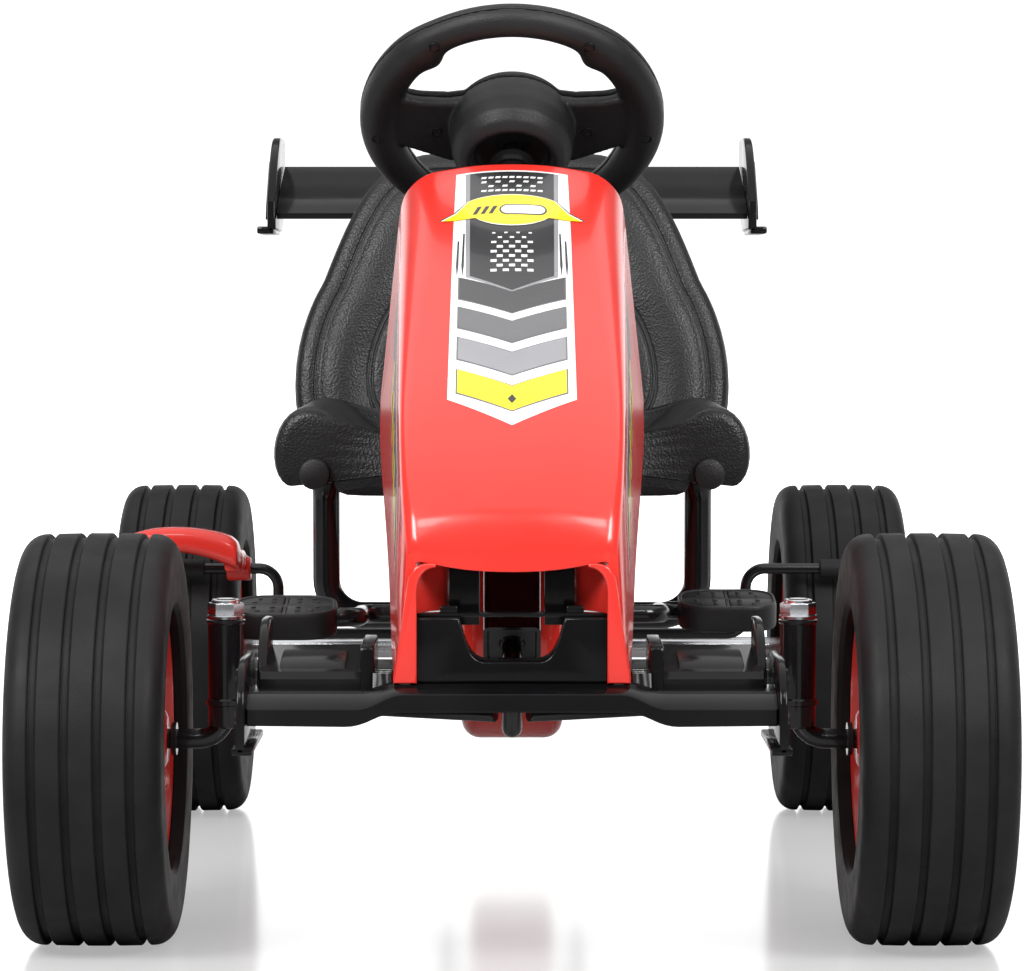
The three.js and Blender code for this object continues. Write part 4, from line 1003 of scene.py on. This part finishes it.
def nose_stickers(cowl):
    """The film on top with its panel, banner and chevrons, and a wedge on each side."""
    skin = surface_of(cowl)

    def on_top(x, y, lift):
        point, normal, _, _ = skin.ray_cast(Vector((x * MM, y * MM, 0.7)), Vector((0, 0, -1)))
        return point + normal * lift

    def on_side(sign):
        def project(y, z, lift):
            point, normal, _, _ = skin.ray_cast(Vector((sign * 0.3, y * MM, z * MM)), Vector((-sign, 0, 0)))
            return point + normal * lift
        return project

    sticker("sticker_base", WHITE, [[(-36, -139), (36, -139), (37, -210), (38, -384), (0, -408), (-38, -384),
                                     (-37, -210)]], on_top, 0)
    panel = [(-27, -141), (27, -141), (26, -262), (0, -279), (-26, -262)]
    sticker("sticker_panel_edge", GREYS[2],
            [[(-30, -141), (30, -141), (28.5, -263), (0, -281), (-28.5, -263)]],
            on_top, 1)
    sticker("sticker_panel", INK, [panel], on_top, 2)
    flag = [box_outline(-11.4 + 7.6 * column + (3.8 if row % 2 else 0), -216 - 5.2 * row, size, size * 0.72)
            for row, size in enumerate((2, 2.6, 3.2, 3.8, 3.8, 3.8, 3.8, 3.8, 3.8)) for column in range(4)
            if -14 < -11.4 + 7.6 * column + (3.8 if row % 2 else 0) < 14]
    dashes = [box_outline(-18 + 4.5 * column, -148 - 5.5 * row, 3.2, 2.2, 0.3)
              for row in range(4) for column in range(9) if (column + row) % 2 or row in (0, 3)]
    sticker("sticker_flag", WHITE, flag + dashes, on_top, 3)
    slits = [[(29.6, -214), (30.6, -214), (31.4, -250), (30.6, -262), (29.8, -250)],
             [(33, -222), (34, -222), (34.8, -250), (34, -262), (33.2, -250)]]
    sticker("sticker_slits", INK, mirrored(slits), on_top, 1)
    band = arc_band(44, -171, 8, 36)
    sticker("sticker_band_edge", INK, [arc_band(46, -169.4, 10, 39)], on_top, 4)
    sticker("sticker_band", WHITE, [arc_band(45, -170.2, 9, 37.8)], on_top, 5)
    sticker("sticker_band_fill", YELLOW, [band], on_top, 6)
    marks = [box_outline(x, -189, 2.6, 9, 1.6) for x in (-22, -17, -12)]
    pill = [(x, y) for x, y in arc((16, -189), 5, -90, 90, 8) + arc((-2, -189), 5, 90, 270, 8)]
    sticker("sticker_marks", INK, marks + [[(x * 1.08 - 0.5, -189 + (y + 189) * 1.24) for x, y in pill]],
            on_top, 7)
    sticker("sticker_pill", WHITE, [pill], on_top, 8)
    tops = [(-263, -285), (-294, -315), (-325, -346.5), (-357, -378.5)]
    for number, ((top, bottom), finish) in enumerate(zip(tops, (*GREYS, YELLOW))):
        sticker(f"sticker_chevron_edge_{number}", GREYS[1], [chevron(32.3, top, bottom, 17.5, 0.9)], on_top,
                1)
        sticker(f"sticker_chevron_{number}", finish, [chevron(32.3, top, bottom, 17.5)], on_top, 2)
    sticker("sticker_diamond", INK, [[(0, -382), (2.6, -386), (0, -390), (-2.6, -386)]], on_top, 3)
    for side, sign in SIDES.items():
        wedge = [(-222, 402), (-224, 374), (-300, 322), (-402, 232), (-410, 258), (-398, 290), (-300, 352)]
        centre = (-310, 318)
        shrunk = [(centre[0] + (y - centre[0]) * 0.965, centre[1] + (z - centre[1]) * 0.93) for y, z in wedge]
        sticker(f"sticker_side_{side}", WHITE, [wedge], on_side(sign), 0)
        sticker(f"sticker_side_fill_{side}", GREYS[1], [shrunk], on_side(sign), 1)
        stripes = []
        for start in (-272, -300, -328, -356, -384):
            rise = (start + 222) * 0.66
            stripes.append([(start, 382 + rise), (start + 12, 388 + rise), (start + 4, 362 + rise),
                            (start - 8, 354 + rise)])
        sticker(f"sticker_side_stripes_{side}", YELLOW, stripes, on_side(sign), 2)


def arc_band(half, top, rise, depth):
    """The banner across the nose: a shallow arch above, a deeper bow below, and pointed ends."""
    upper = [(half * 0.72 * math.sin(a), top - rise * (1 - math.cos(a)) * 1.4)
             for a in (math.radians(-60 + 120 * i / 12) for i in range(13))]
    lower = [(half * 0.6 * math.sin(a), top - depth + (depth - 24) * (1 - math.cos(a)) * 1.6)
             for a in (math.radians(60 - 120 * i / 12) for i in range(13))]
    return upper + [(half * 0.8, top - 19), (half, top - 25), (half * 0.8, top - 27)] + lower + [
        (-half * 0.8, top - 27), (-half, top - 25), (-half * 0.8, top - 19)]


cowl = nose_cowl()
nose_stickers(cowl)


def nose_flange(side):
    """The side wall's inward turn beside the mouth, and the curved wall leading back to an opening."""
    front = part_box("nose_insert")[0].y
    sign = SIDES[side]
    outline = [(54, 174), (67.4, 174), (58.8, 234), (55, 240)] + curve((55, 240), (50, 243), (43, 242), 4) + \
        [(43, 240)] + curve((43, 240), (53.4, 239), (54, 226), 6)
    bm = bmesh.new()
    prism(bm, millimetres([(sign * x, z) for x, z in outline]), 0.5 * MM - front, 4.4 * MM - front,
          across_y(0), 1.4 * MM, 3)
    wall = [(60, -462.6), (54.2, -462.6)] + curve((54.2, -462.6), (51, -449), (43, -440), 6) + \
        curve((43, -440), (35, -432), (33, -417), 6) + [(35.4, -416)] + \
        curve((35.4, -416), (37, -431), (45, -438.4), 6) + curve((45, -438.4), (54, -447), (60, -460.6), 6)
    prism(bm, millimetres([(sign * x, y) for x, y in wall]), 213.4 * MM, 247 * MM, Matrix(), 0.4 * MM)
    finished(bm, f"nose_flange_{side}", RED, "chassis")


# ---------------------------------------------------------------- nose insert and front wing
def nose_insert():
    """The dark bar across the mouth, notched in the middle, with two dark upstands behind that are painted
    shade: dark sheets beside the column where the mouth's inside lies in shade.
    """
    low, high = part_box("nose_insert")
    high.z = 211 * MM
    half = [(0, 186), (16, 186)] + curve((16, 186), (26, 187), (30, 211)) + [(58, 211), (58, 174), (0, 174)]
    outline = half + [(-x, z) for x, z in reversed(half[1:-1])]
    bm = bmesh.new()
    prism(bm, millimetres(outline), -high.y, -low.y, across_y(0), 1.4 * MM, 3)
    block(bm, (-58 * MM, low.y + 6 * MM, high.z), (58 * MM, high.y, high.z + 2 * MM), 0.7 * MM)
    for x in (-36, 36):
        block(bm, ((x - 5) * MM, low.y + 9 * MM, high.z + 1 * MM),
              ((x + 5) * MM, low.y + 18 * MM, high.z + 6 * MM),
              1 * MM)
    # Painted shade: two dark upstands beside the column stand for the shaded inside of the mouth.
    for sign in SIDES.values():
        start, end = sorted((sign * 18.6 * MM, sign * 36 * MM))
        block(bm, (start, high.y - 6 * MM, high.z - 6 * MM), (end, high.y - 2.6 * MM, high.z + 34 * MM),
              0.8 * MM)
    finished(bm, "mouth_insert_and_shade_upstands", GLOSS_BLACK, "chassis", ["nose_insert"])


def front_wing():
    """The wing's main plane with its raised middle, two ledges, four fins and small louvres."""
    low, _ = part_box("front_wing")
    upper = [(0, 174), (62, 174)] + curve((62, 174), (68, 174), (75, 171.4), 4) + \
        curve((75, 171.4), (82, 168.8), (89, 168.8), 4) + [(150, 168.8)]
    lower = [(150, 151), (94, 150.4)] + curve((94, 150.4), (87, 150.4), (79, 154.4), 4) + \
        curve((79, 154.4), (71, 158.5), (62, 158.5), 4) + [(0, 158.5)]
    rows = []
    for depth, slope, rounding in ((0, 1, 0.9), (0.9, 1, 0), (6, 0.62, 0), (12, 0.2, 0), (18, 0, 0),
                                   (60, 0, 0)):
        line = [(x, z - slope * lerp(4.6, 7.8, smooth_step(x, 60, 88)) - rounding) for x, z in upper]
        line += [(x, z + rounding) for x, z in lower]
        line = [(x - rounding * (x > 149), z) for x, z in line]
        line += [(-x, z) for x, z in reversed(line[1:-1])]
        rows.append([Vector((x * MM, low.y + depth * MM, z * MM)) for x, z in line])
    bm = bmesh.new()
    loft(bm, rows, closed=True, caps=True)
    ledge = [(-440, 158), (-440, 174), (-436, 178), (-360, 187), (-360, 181), (-428, 166)]
    inner_fin = [(-441, 158), (-441, 189)] + curve((-441, 189), (-440.6, 194), (-436, 194), 5) + \
        [(-376, 194), (-372, 190), (-372, 178), (-424, 160)]
    outer_fin = [(-430, 160)] + curve((-430, 160), (-418, 200), (-385, 204), 6) + \
        [(-362, 204), (-366, 176), (-420, 158)]
    for sign in SIDES.values():
        for shape, x0, x1, bevel in ((ledge, 84, 145, 1.2), (inner_fin, 79, 87, 1.2),
                                     (outer_fin, 141.6, 147.2, 1.4)):
            start, end = sorted((sign * x0 * MM, sign * x1 * MM))
            prism(bm, millimetres(shape), start, end, ALONG_X, bevel * MM, 2)
        for number in range(3):
            y = -452 + 10 * number
            slat = [(y, 166), (y + 3, 166), (y + 9, 178), (y + 6, 178)]
            start, end = sorted((sign * 68.5 * MM, sign * 80 * MM))
            prism(bm, millimetres(slat), start, end, ALONG_X, 0.6 * MM)
        start, end = sorted((sign * 96 * MM, sign * 134 * MM))
        prism(bm, millimetres([(-430, 177), (-424, 182.5), (-388, 187), (-384, 183)]), start, end, ALONG_X,
              1 * MM)
    return finished(bm, "wing_moulding", GLOSS_BLACK, "chassis", ["front_wing"])


def wing_end(side):
    """A fence at the wing's end, with a foot, a slanting rib and two screws."""
    sign = SIDES[side]
    low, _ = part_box(f"wing_end_plate_{side}")
    nose = low.y / MM
    blade = [(nose, 137), (nose, 160)] + curve((nose, 160), (nose + 6, 184), (nose + 30, 187), 6) + \
        [(-402, 187)] + curve((-402, 187), (-388, 186), (-388, 168), 5) + [(-388, 137)]
    bm = bmesh.new()
    start, end = sorted((sign * 150.4 * MM, sign * 155.4 * MM))
    prism(bm, millimetres(blade), start, end, ALONG_X, 1.3 * MM, 3)
    start, end = sorted((sign * 146 * MM, sign * 158 * MM))
    block(bm, (start, nose * MM, 135 * MM), (end, -388 * MM, 139.6 * MM), 1.2 * MM)
    start, end = sorted((sign * 152 * MM, sign * 157.2 * MM))
    prism(bm, millimetres([(nose + 8, 140), (nose + 10, 152), (-398, 178), (-396, 172), (nose + 16, 144)]),
          start, end, ALONG_X, 0.8 * MM)
    finished(bm, f"wing_fence_{side}", GLOSS_BLACK, "chassis", [f"wing_end_plate_{side}"])
    bm = bmesh.new()
    for y in (-468, -412):
        screw(bm, facing((sign * 155.2 * MM, y * MM, 156 * MM), (sign, 0, 0)), 3 * MM)
    finished(bm, f"wing_fence_screws_{side}", ZINC, "chassis")


nose_insert()
front_wing()
for side in SIDES:
    nose_flange(side)
    wing_end(side)


# ---------------------------------------------------------------- seat
def even(outline, count):
    """The same closed outline, as count evenly spaced points."""
    points = [Vector(point) for point in outline]
    lengths = [(b - a).length for a, b in zip(points, points[1:] + points[:1])]
    total, spaced = sum(lengths), []
    index, passed = 0, 0.0
    for i in range(count):
        target = total * i / count
        while passed + lengths[index] < target:
            passed += lengths[index]
            index += 1
        part = (target - passed) / lengths[index]
        spaced.append(points[index].lerp(points[(index + 1) % len(points)], part))
    return spaced


def inset(points, distance):
    """The outline moved inwards; points run anticlockwise."""
    count = len(points)
    moved = []
    for i, point in enumerate(points):
        along = (points[(i + 2) % count] - points[i - 2]).normalized()
        moved.append(point + Vector((-along.y, along.x)) * distance)
    return moved


def padded(bm, outline, steps, place, wrap=None, count=160):
    """A pad whose skin follows (distance in from the edge, height) steps, then domes to the middle."""
    edge = even(outline, count)
    middle_at = sum(edge, Vector((0, 0))) / count
    rings = []
    for distance, height in steps:
        loop = inset(edge, distance)
        if distance > 12:
            soft = inset(edge, 12)
            loop = [s + (l - s).length * (middle_at - s).normalized() for s, l in zip(soft, loop)]
        rings.append((loop, height))
    last, top = rings[-1]
    for share in (0.8, 0.6, 0.4, 0.2, 0.06):
        rings.append(([middle_at + (p - middle_at) * share for p in last], top - 2.2 * (1 - share) ** 0.8))
    made = []
    for loop, height in rings:
        made.append([bm.verts.new(place @ (Vector((p.x, p.y, height + (wrap(p) if wrap else 0))) * MM))
                     for p in loop])
    for first, second in zip(made, made[1:]):
        strip(bm, first, second)
    bm.faces.new(made[-1])
    bm.faces.new(made[0])


SEAM = [(0, 0), (1.2, -0.3), (2, -1.8), (2.8, -0.6), (3.8, 0), (4.8, -0.6), (5.6, -1.8), (6.4, -0.3),
        (7.6, 0)]


def seat_back():
    """A padded shell with a sewn band round a domed middle, and a grid of ribs behind."""
    low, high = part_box("seat_back")
    half = [(0, -8), (118, -8)]
    a, b, c, d = (Vector(p) for p in ((118, -8), (170, -2), (170, 90), (140, 140)))
    half += [tuple(a * (1 - t) ** 3 + b * 3 * t * (1 - t) ** 2 + c * 3 * t ** 2 * (1 - t) + d * t ** 3)
             for t in (i / 14 for i in range(1, 15))]
    a, b, c, d = (Vector(p) for p in ((140, 140), (118, 200), (102, 238), (56, 240)))
    half += [tuple(a * (1 - t) ** 3 + b * 3 * t * (1 - t) ** 2 + c * 3 * t ** 2 * (1 - t) + d * t ** 3)
             for t in (i / 12 for i in range(1, 13))]
    half += [(0, 242)]
    outline = half + [(-x, z) for x, z in reversed(half[1:-1])]
    lean = Matrix.Translation((0, 184 * MM, 270 * MM)) @ Matrix.Rotation(math.radians(-13), 4, "X")
    # local X across, local Y up the back, local Z towards the driver
    place = lean @ Matrix.Translation((0, 30 * MM, 0)) @ Matrix.Rotation(math.pi / 2, 4, "X")
    bm = bmesh.new()
    shell = [(30, 1.5), (14, 1.2), (11, 0), (4, 0.4), (1, 3), (0, 8), (0, 15), (0.8, 19), (3, 22.4),
             (6, 24.2), (10, 25)]
    band = ([(13 + d, 25.4 + h) for d, h in SEAM[:6]]
            + [(20, 26.6), (27, 28.6), (36, 29.6), (45, 29), (51, 27.6)])
    inner = [(54 + d, 27 + h) for d, h in SEAM] + [(66, 27.6)]
    padded(bm, outline, shell + band + inner, place, lambda p: 7 * (p.x / 150) ** 2)
    for x in (-84, -50, -17, 17, 50, 84):
        top = 206 - 0.35 * abs(x)
        block(bm, ((x - 4) * MM, 22 * MM, -1.5 * MM), ((x + 4) * MM, top * MM, 6 * MM), 1.4 * MM, 3, place)
    for y in (60, 120, 176):
        reach = 112 - 0.16 * max(0, y - 100)
        block(bm, (-reach * MM, (y - 3) * MM, -0.6 * MM), (reach * MM, (y + 3) * MM, 6 * MM), 1.2 * MM, 3,
              place)
    return finished(bm, "padded_seat_back", SEAT, "seat", ["seat_back"], angle=180)


def seat_base():
    """The moulded base: arched over the tube ends below, with rolled bolsters beside a lower middle."""
    low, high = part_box("seat_base")
    bottom = ([(0, 261), (60, 261), (104, 261), (117, 262)]
              + arc((131, 276), 12.5, 190, 0, 12) + [(144.5, 268)])
    top = [(150, 266.5), (157, 274), (159.6, 286), (158.5, 300), (153, 312), (144, 319.5), (133, 321.5),
           (122, 318), (112, 309), (100, 298), (84, 290), (64, 285), (36, 281.5), (0, 280)]
    rows = []
    shares = [0, 0.008, 0.02, 0.04, 0.07, 0.12, 0.2, 0.35, 0.5, 0.65, 0.8, 0.92, 1]
    for share in shares:
        y = lerp(low.y, high.y, share)
        nose = max(0.0, 1 - share / 0.045)
        sink = 1 - math.sqrt(max(0.0, 1 - nose ** 2))
        half = [(x - (x - 131) * 0.02 * sink, z) for x, z in bottom]
        half += [(lerp(x, 131 if x > 100 else x, 0.16 * sink), z - (z - 285 if z > 285 else 0) * 0.22 * sink
                  - 5 * sink * (x < 110)) for x, z in top]
        row = [Vector((x * MM, y, z * MM)) for x, z in half]
        rows.append(row + [Vector((-p.x, p.y, p.z)) for p in reversed(row[1:-1])])
    bm = bmesh.new()
    loft(bm, rows, closed=True, caps=True)
    piece = finished(bm, "moulded_seat_base", SEAT, "seat", ["seat_base"], angle=50, subdivide=1)
    half = [(0, -100), (58, -100)] + curve((58, -100), (88, -98), (90, -70), 6) + \
        curve((90, -70), (98, 20), (88, 92), 8) + curve((88, 92), (84, 104), (66, 104), 6) + [(0, 104)]
    outline = half + [(-x, y) for x, y in reversed(half[1:-1])]
    bm = bmesh.new()
    shell = [(8, 16), (0, 17), (0, 24), (0.8, 26.6), (3, 28.4), (7, 29.6), (12, 30.2)]
    shell += [(20, 30.4)] + [(24 + d, 30.2 + h) for d, h in SEAM] + [(36, 30.6)]
    padded(bm, outline, shell, Matrix.Translation((0, 30 * MM, 255 * MM)),
           lambda p: 9 * (p.x / 90) ** 2 - 2)
    finished(bm, "seat_pan_pad", SEAT, "seat", angle=180)
    return piece


seat_back()
seat_base()


# ---------------------------------------------------------------- rear spoiler
def spoiler_post(side):
    """A bent post on a round foot that is welded to the rail."""
    sign = SIDES[side]
    low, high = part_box(f"spoiler_post_{side}")
    x = sign * 50 * MM
    bm = bmesh.new()
    tube(bm, [(x, 385 * MM, low.z + 1 * MM), (x, 385 * MM, 340 * MM), (x, 405 * MM, 461 * MM)], 8 * MM,
         60 * MM, 24, 10)
    lathe(bm, [(low.z, 0), (low.z, 12.4 * MM), (low.z + 0.6 * MM, 13 * MM), (low.z + 3.4 * MM, 13 * MM),
               (low.z + 4 * MM, 12.4 * MM), (low.z + 4 * MM, 0)], Matrix.Translation((x, 385 * MM, 0)), 36)
    weld(bm, (x, 385 * MM, low.z + 4 * MM), (0, 0, 1), 8 * MM, 1.6 * MM)
    finished(bm, f"spoiler_support_{side}", PAINT, "chassis", [f"spoiler_post_{side}"])


def spoiler_plane():
    """The spoiler's blade, with ribs below and a block over each post."""
    low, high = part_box("spoiler_plane")
    upper = [(362, 459), (370, 464.5), (382, 471.5), (420, 483.5), (450, 492.5), (469, 498.4)]
    lower = [(472.5, 499), (474.5, 497), (474, 493.5), (450, 485.5), (420, 476), (384, 465), (366, 454.8),
             (362, 454.5)]
    bm = bmesh.new()
    prism(bm, millimetres(upper + lower), low.x, high.x, ALONG_X, 0.5 * MM)
    for x in (-130, -90, 90, 130):
        rib = [(376, 466), (384, 461), (440, 479), (462, 492)]
        prism(bm, millimetres(rib), (x - 1.5) * MM, (x + 1.5) * MM, ALONG_X, 0.4 * MM)
    for x in (-50, 50):
        block(bm, ((x - 11) * MM, 392 * MM, 462 * MM), ((x + 11) * MM, 420 * MM, 477 * MM), 2 * MM, 3)
    finished(bm, "spoiler_blade", GLOSS_BLACK, "chassis", ["spoiler_plane"])
    bm = bmesh.new()
    for x in (-50, 50):
        screw(bm, facing((x * MM, 406 * MM, 479.2 * MM), (0, -0.29, 1)), 4 * MM)
    finished(bm, "spoiler_screws", ZINC, "chassis")


def spoiler_end(side):
    """A fence at the spoiler's end, with a foot, a rib along its edge and two screws."""
    sign = SIDES[side]
    low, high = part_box(f"spoiler_end_{side}")
    blade = [(355, 446), (355, 468)] + curve((355, 468), (380, 500), (404, 512), 6) + \
        curve((404, 512), (420, 521), (442, 521), 5) + [(480, 521)] + \
        curve((480, 521), (485, 520), (485, 514), 4) + \
        [(485, 474)] + curve((485, 474), (484, 466), (474, 462), 4) + [(442, 446)]
    bm = bmesh.new()
    start, end = sorted((sign * 183.4 * MM, sign * 190 * MM))
    prism(bm, millimetres(blade), start, end, ALONG_X, 1.6 * MM, 3)
    start, end = sorted((sign * 185 * MM, sign * 198 * MM))
    block(bm, (start, 355 * MM, 443 * MM), (end, 438 * MM, 448.6 * MM), 1.4 * MM)
    start, end = sorted((sign * 188 * MM, sign * 192 * MM))
    prism(bm, millimetres([(366, 454), (372, 466), (410, 500), (440, 508), (470, 508), (470, 502), (440, 500),
                           (414, 492), (378, 462), (374, 454)]), start, end, ALONG_X, 0.8 * MM)
    finished(bm, f"spoiler_fence_{side}", GLOSS_BLACK, "chassis", [f"spoiler_end_{side}"])
    bm = bmesh.new()
    for y, z in ((386, 474), (452, 494)):
        screw(bm, facing((sign * 189.8 * MM, y * MM, z * MM), (sign, 0, 0)), 3 * MM)
    finished(bm, f"spoiler_fence_screws_{side}", ZINC, "chassis")


spoiler_plane()
for side in SIDES:
    spoiler_post(side)
    spoiler_end(side)


# ---------------------------------------------------------------- column housing, bushes and chain
def column_housing():
    """The square tube round the column, and a bearing near each end."""
    bm = bmesh.new()
    outer = millimetres(rounded(34, 34, 4.5, 6))
    inner = millimetres(rounded(29, 29, 2.5, 6))
    frame_ring(bm, outer, inner, -440 * MM, -78 * MM, COLUMN)
    finished(bm, "column_box", PAINT, "chassis", ["column_housing"])
    for name, top in (("upper", -79), ("lower", -421)):
        bm = bmesh.new()
        section = millimetres(rounded(28.2, 28.2, 2.2, 6))
        prism(bm, section, (top - 18) * MM, (top - 1.2) * MM, COLUMN, 0.6 * MM)
        lathe(bm, [((top - 1.4) * MM, 8.4 * MM), ((top - 1.4) * MM, 11 * MM), (top * MM, 10.4 * MM),
                   (top * MM, 8.4 * MM)], COLUMN, 36, closed=True)
        finished(bm, f"column_bearing_{name}", NYLON, "chassis", [f"column_bush_{name}"])


def bush(kind, side, radius):
    """A flanged nylon bush."""
    low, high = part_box(f"{kind}_bush_{side}")
    centre = (low + high) / 2
    half = (high.x - low.x) / 2
    bm = bmesh.new()
    profile = [(-half, radius), (-half, 12.6 * MM), (-half + 0.5 * MM, 13 * MM), (half - 0.5 * MM, 13 * MM),
               (half, 12.6 * MM), (half, radius)]
    lathe(bm, profile, Matrix.Translation(centre) @ ALONG_X, 40, closed=True)
    finished(bm, f"nylon_{kind}_bush_{side}", NYLON, "chassis", [f"{kind}_bush_{side}"])


PITCH = 12.7 * MM


def sprocket(name, node, teeth, bore, body):
    """A toothed disc with round roots and cut-outs."""
    centre = middle(node)
    pitch = PITCH / 2 / math.sin(math.pi / teeth)
    outline = []
    for tooth in range(teeth):
        for share, radius in ((0, -4), (0.12, -3.7), (0.24, -2.2), (0.38, 0.2), (0.46, 1.2), (0.54, 1.2),
                              (0.62, 0.2), (0.76, -2.2), (0.88, -3.7)):
            angle = 2 * math.pi * (tooth + share) / teeth
            outline.append(((pitch + radius * MM) * math.cos(angle), (pitch + radius * MM) * math.sin(angle)))
    bm = bmesh.new()
    place = Matrix.Translation(centre) @ ALONG_X
    inner = circle(bore, len(outline))
    frame_ring(bm, outline, inner, -1.4 * MM, 1.4 * MM, place)
    lathe(bm, [(-6 * MM, bore), (-6 * MM, bore + 5 * MM), (6 * MM, bore + 5 * MM), (6 * MM, bore)], place, 36,
          closed=True)
    finished(bm, name, DARK_STEEL, body, [node])


def chain():
    """Links and rollers spaced one pitch apart round both sprockets."""
    crank_at, axle_at = joints["crank_spin"]["pos_m"], joints["drive_axle_spin"]["pos_m"]
    front, rear = (PITCH / 2 / math.sin(math.pi / teeth) for teeth in (28, 14))
    path = belt(front, rear, Vector(crank_at[1:]), Vector(axle_at[1:]), 60)
    length = sum(math.dist(a, b) for a, b in zip(path, path[1:] + path[:1]))
    pins = even(path, 2 * round(length / PITCH / 2))
    bm = bmesh.new()
    for number, (pin, after) in enumerate(zip(pins, pins[1:] + pins[:1])):
        place = Matrix.Translation((0, pin.x, pin.y)) @ ALONG_X @ Matrix.Rotation(
            math.atan2(after.y - pin.y, after.x - pin.x), 4, "Z")
        reach = (after - pin).length
        lathe(bm, [(-2 * MM, 0), (-2 * MM, 3.6 * MM), (2 * MM, 3.6 * MM), (2 * MM, 0)], place, 10)
        plate = arc((0, 0), 3.9 * MM, 90, 270, 4) + arc((reach, 0), 3.9 * MM, -90, 90, 4)
        gap = (2 if number % 2 else 2.9) * MM
        for sign in SIDES.values():
            start, end = sorted((sign * gap, sign * (gap + 0.8 * MM)))
            prism(bm, plate, start, end, place, 0)
    finished(bm, "roller_chain", DARK_STEEL, "chassis", ["chain"])


column_housing()
for side in SIDES:
    bush("crank", side, 6.4 * MM)
    bush("axle", side, 8.4 * MM)
sprocket("crank_sprocket", "chainring", 28, 6.4 * MM, "crankset")
sprocket("axle_sprocket", "rear_sprocket", 14, 8.4 * MM, "drive_axle")
chain()


# ---------------------------------------------------------------- floor, light and camera
def ranged(owner, value, from_low, from_high, to_low, to_high):
    """A shader value mapped from one range to another."""
    node = owner.node_tree.nodes.new("ShaderNodeMapRange")
    for name, number in (("From Min", from_low), ("From Max", from_high), ("To Min", to_low),
                         ("To Max", to_high)):
        node.inputs[name].default_value = number
    owner.node_tree.links.new(value, node.inputs["Value"])
    return node.outputs["Result"]


def floor_finish():
    """White paper with a soft gloss; the camera sees it lifted, so it fades into the backdrop."""
    made = bpy.data.materials.new("floor")
    made.use_nodes = True
    nodes, links = made.node_tree.nodes, made.node_tree.links
    shader = nodes["Principled BSDF"]
    shader.inputs["Base Color"].default_value = (0.42, 0.42, 0.42, 1)
    shader.inputs["Roughness"].default_value = 0.14
    shader.inputs["Specular IOR Level"].default_value = 0.36
    shader.inputs["Emission Color"].default_value = (1, 1, 1, 1)
    place = nodes.new("ShaderNodeTexCoord")
    distance = nodes.new("ShaderNodeVectorMath")
    distance.operation = "LENGTH"
    links.new(place.outputs["Object"], distance.inputs[0])
    lift = ranged(made, distance.outputs["Value"], 0.7, 2.4, 0.4, 1.1)
    seen = nodes.new("ShaderNodeLightPath")
    shown = nodes.new("ShaderNodeMath")
    shown.operation = "MULTIPLY"
    links.new(seen.outputs["Is Camera Ray"], shown.inputs[0])
    links.new(lift, shown.inputs[1])
    links.new(shown.outputs["Value"], shader.inputs["Emission Strength"])
    return made


def studio():
    """The floor, two front lights with two small ones for the nose, a top light, and the backdrop."""
    bm = bmesh.new()
    loft(bm, [[Vector((x, y, 0)) for x in (-20, 20)] for y in (-20, 20)])
    mesh = bpy.data.meshes.new("floor")
    bm.to_mesh(mesh)
    bm.free()
    floor = bpy.data.objects.new("floor", mesh)
    mesh.materials.append(floor_finish())
    bpy.context.scene.collection.objects.link(floor)
    for name, place, target, size, power in (
            ("key", (-1.5, -2.1, 1.9), (0, -0.2, 0.3), 1.0, 62),
            ("fill", (1.6, -2.1, 1.8), (0, -0.2, 0.3), 1.0, 56),
            ("left_spot", (0.5, -2.25, 2.1), (0, -0.46, 0.27), 0.34, 5),
            ("right_spot", (-0.5, -2.25, 2.1), (0, -0.46, 0.27), 0.34, 5),
            ("top", (0, 0.1, 2.4), (0, 0, 0.2), 4.0, 46)):
        light = bpy.data.lights.new(name, "AREA")
        light.energy = power
        light.size = size
        lamp = bpy.data.objects.new(name, light)
        lamp.matrix_world = facing(place, Vector(place) - Vector(target))
        bpy.context.scene.collection.objects.link(lamp)
    world = bpy.data.worlds.new("studio")
    world.use_nodes = True
    nodes, links = world.node_tree.nodes, world.node_tree.links
    backdrop = nodes["Background"]
    backdrop.inputs["Color"].default_value = (1, 1, 1, 1)
    place = nodes.new("ShaderNodeTexCoord")
    split = nodes.new("ShaderNodeSeparateXYZ")
    links.new(place.outputs["Generated"], split.inputs["Vector"])
    low_wall = ranged(world, split.outputs["Z"], 0.2, 0.36, 1, 0)
    behind = ranged(world, split.outputs["Y"], 0.0, 0.35, 0, 1)
    wall = nodes.new("ShaderNodeMath")
    wall.operation = "MULTIPLY"
    links.new(low_wall, wall.inputs[0])
    links.new(behind, wall.inputs[1])
    dim = ranged(world, wall.outputs["Value"], 0, 1, 0.2, 1.5)
    seen = nodes.new("ShaderNodeLightPath")
    strength = nodes.new("ShaderNodeMix")
    links.new(seen.outputs["Is Camera Ray"], strength.inputs["Factor"])
    links.new(dim, strength.inputs["A"])
    strength.inputs["B"].default_value = 1.2
    links.new(strength.outputs["Result"], backdrop.inputs["Strength"])
    bpy.context.scene.world = world
    bpy.context.scene.view_settings.view_transform = "Standard"


def camera():
    """A long lens from the front, a little above the wheels."""
    lens = bpy.data.cameras.new("camera")
    lens.sensor_width = 36
    lens.lens = 135.4
    lens.clip_end = 50
    eye = bpy.data.objects.new("camera", lens)
    eye.location = (0, -2.64, 0.39)
    eye.rotation_euler = (math.radians(90 - 2.728), 0, 0)
    bpy.context.scene.collection.objects.link(eye)
    bpy.context.scene.camera = eye


studio()
camera()
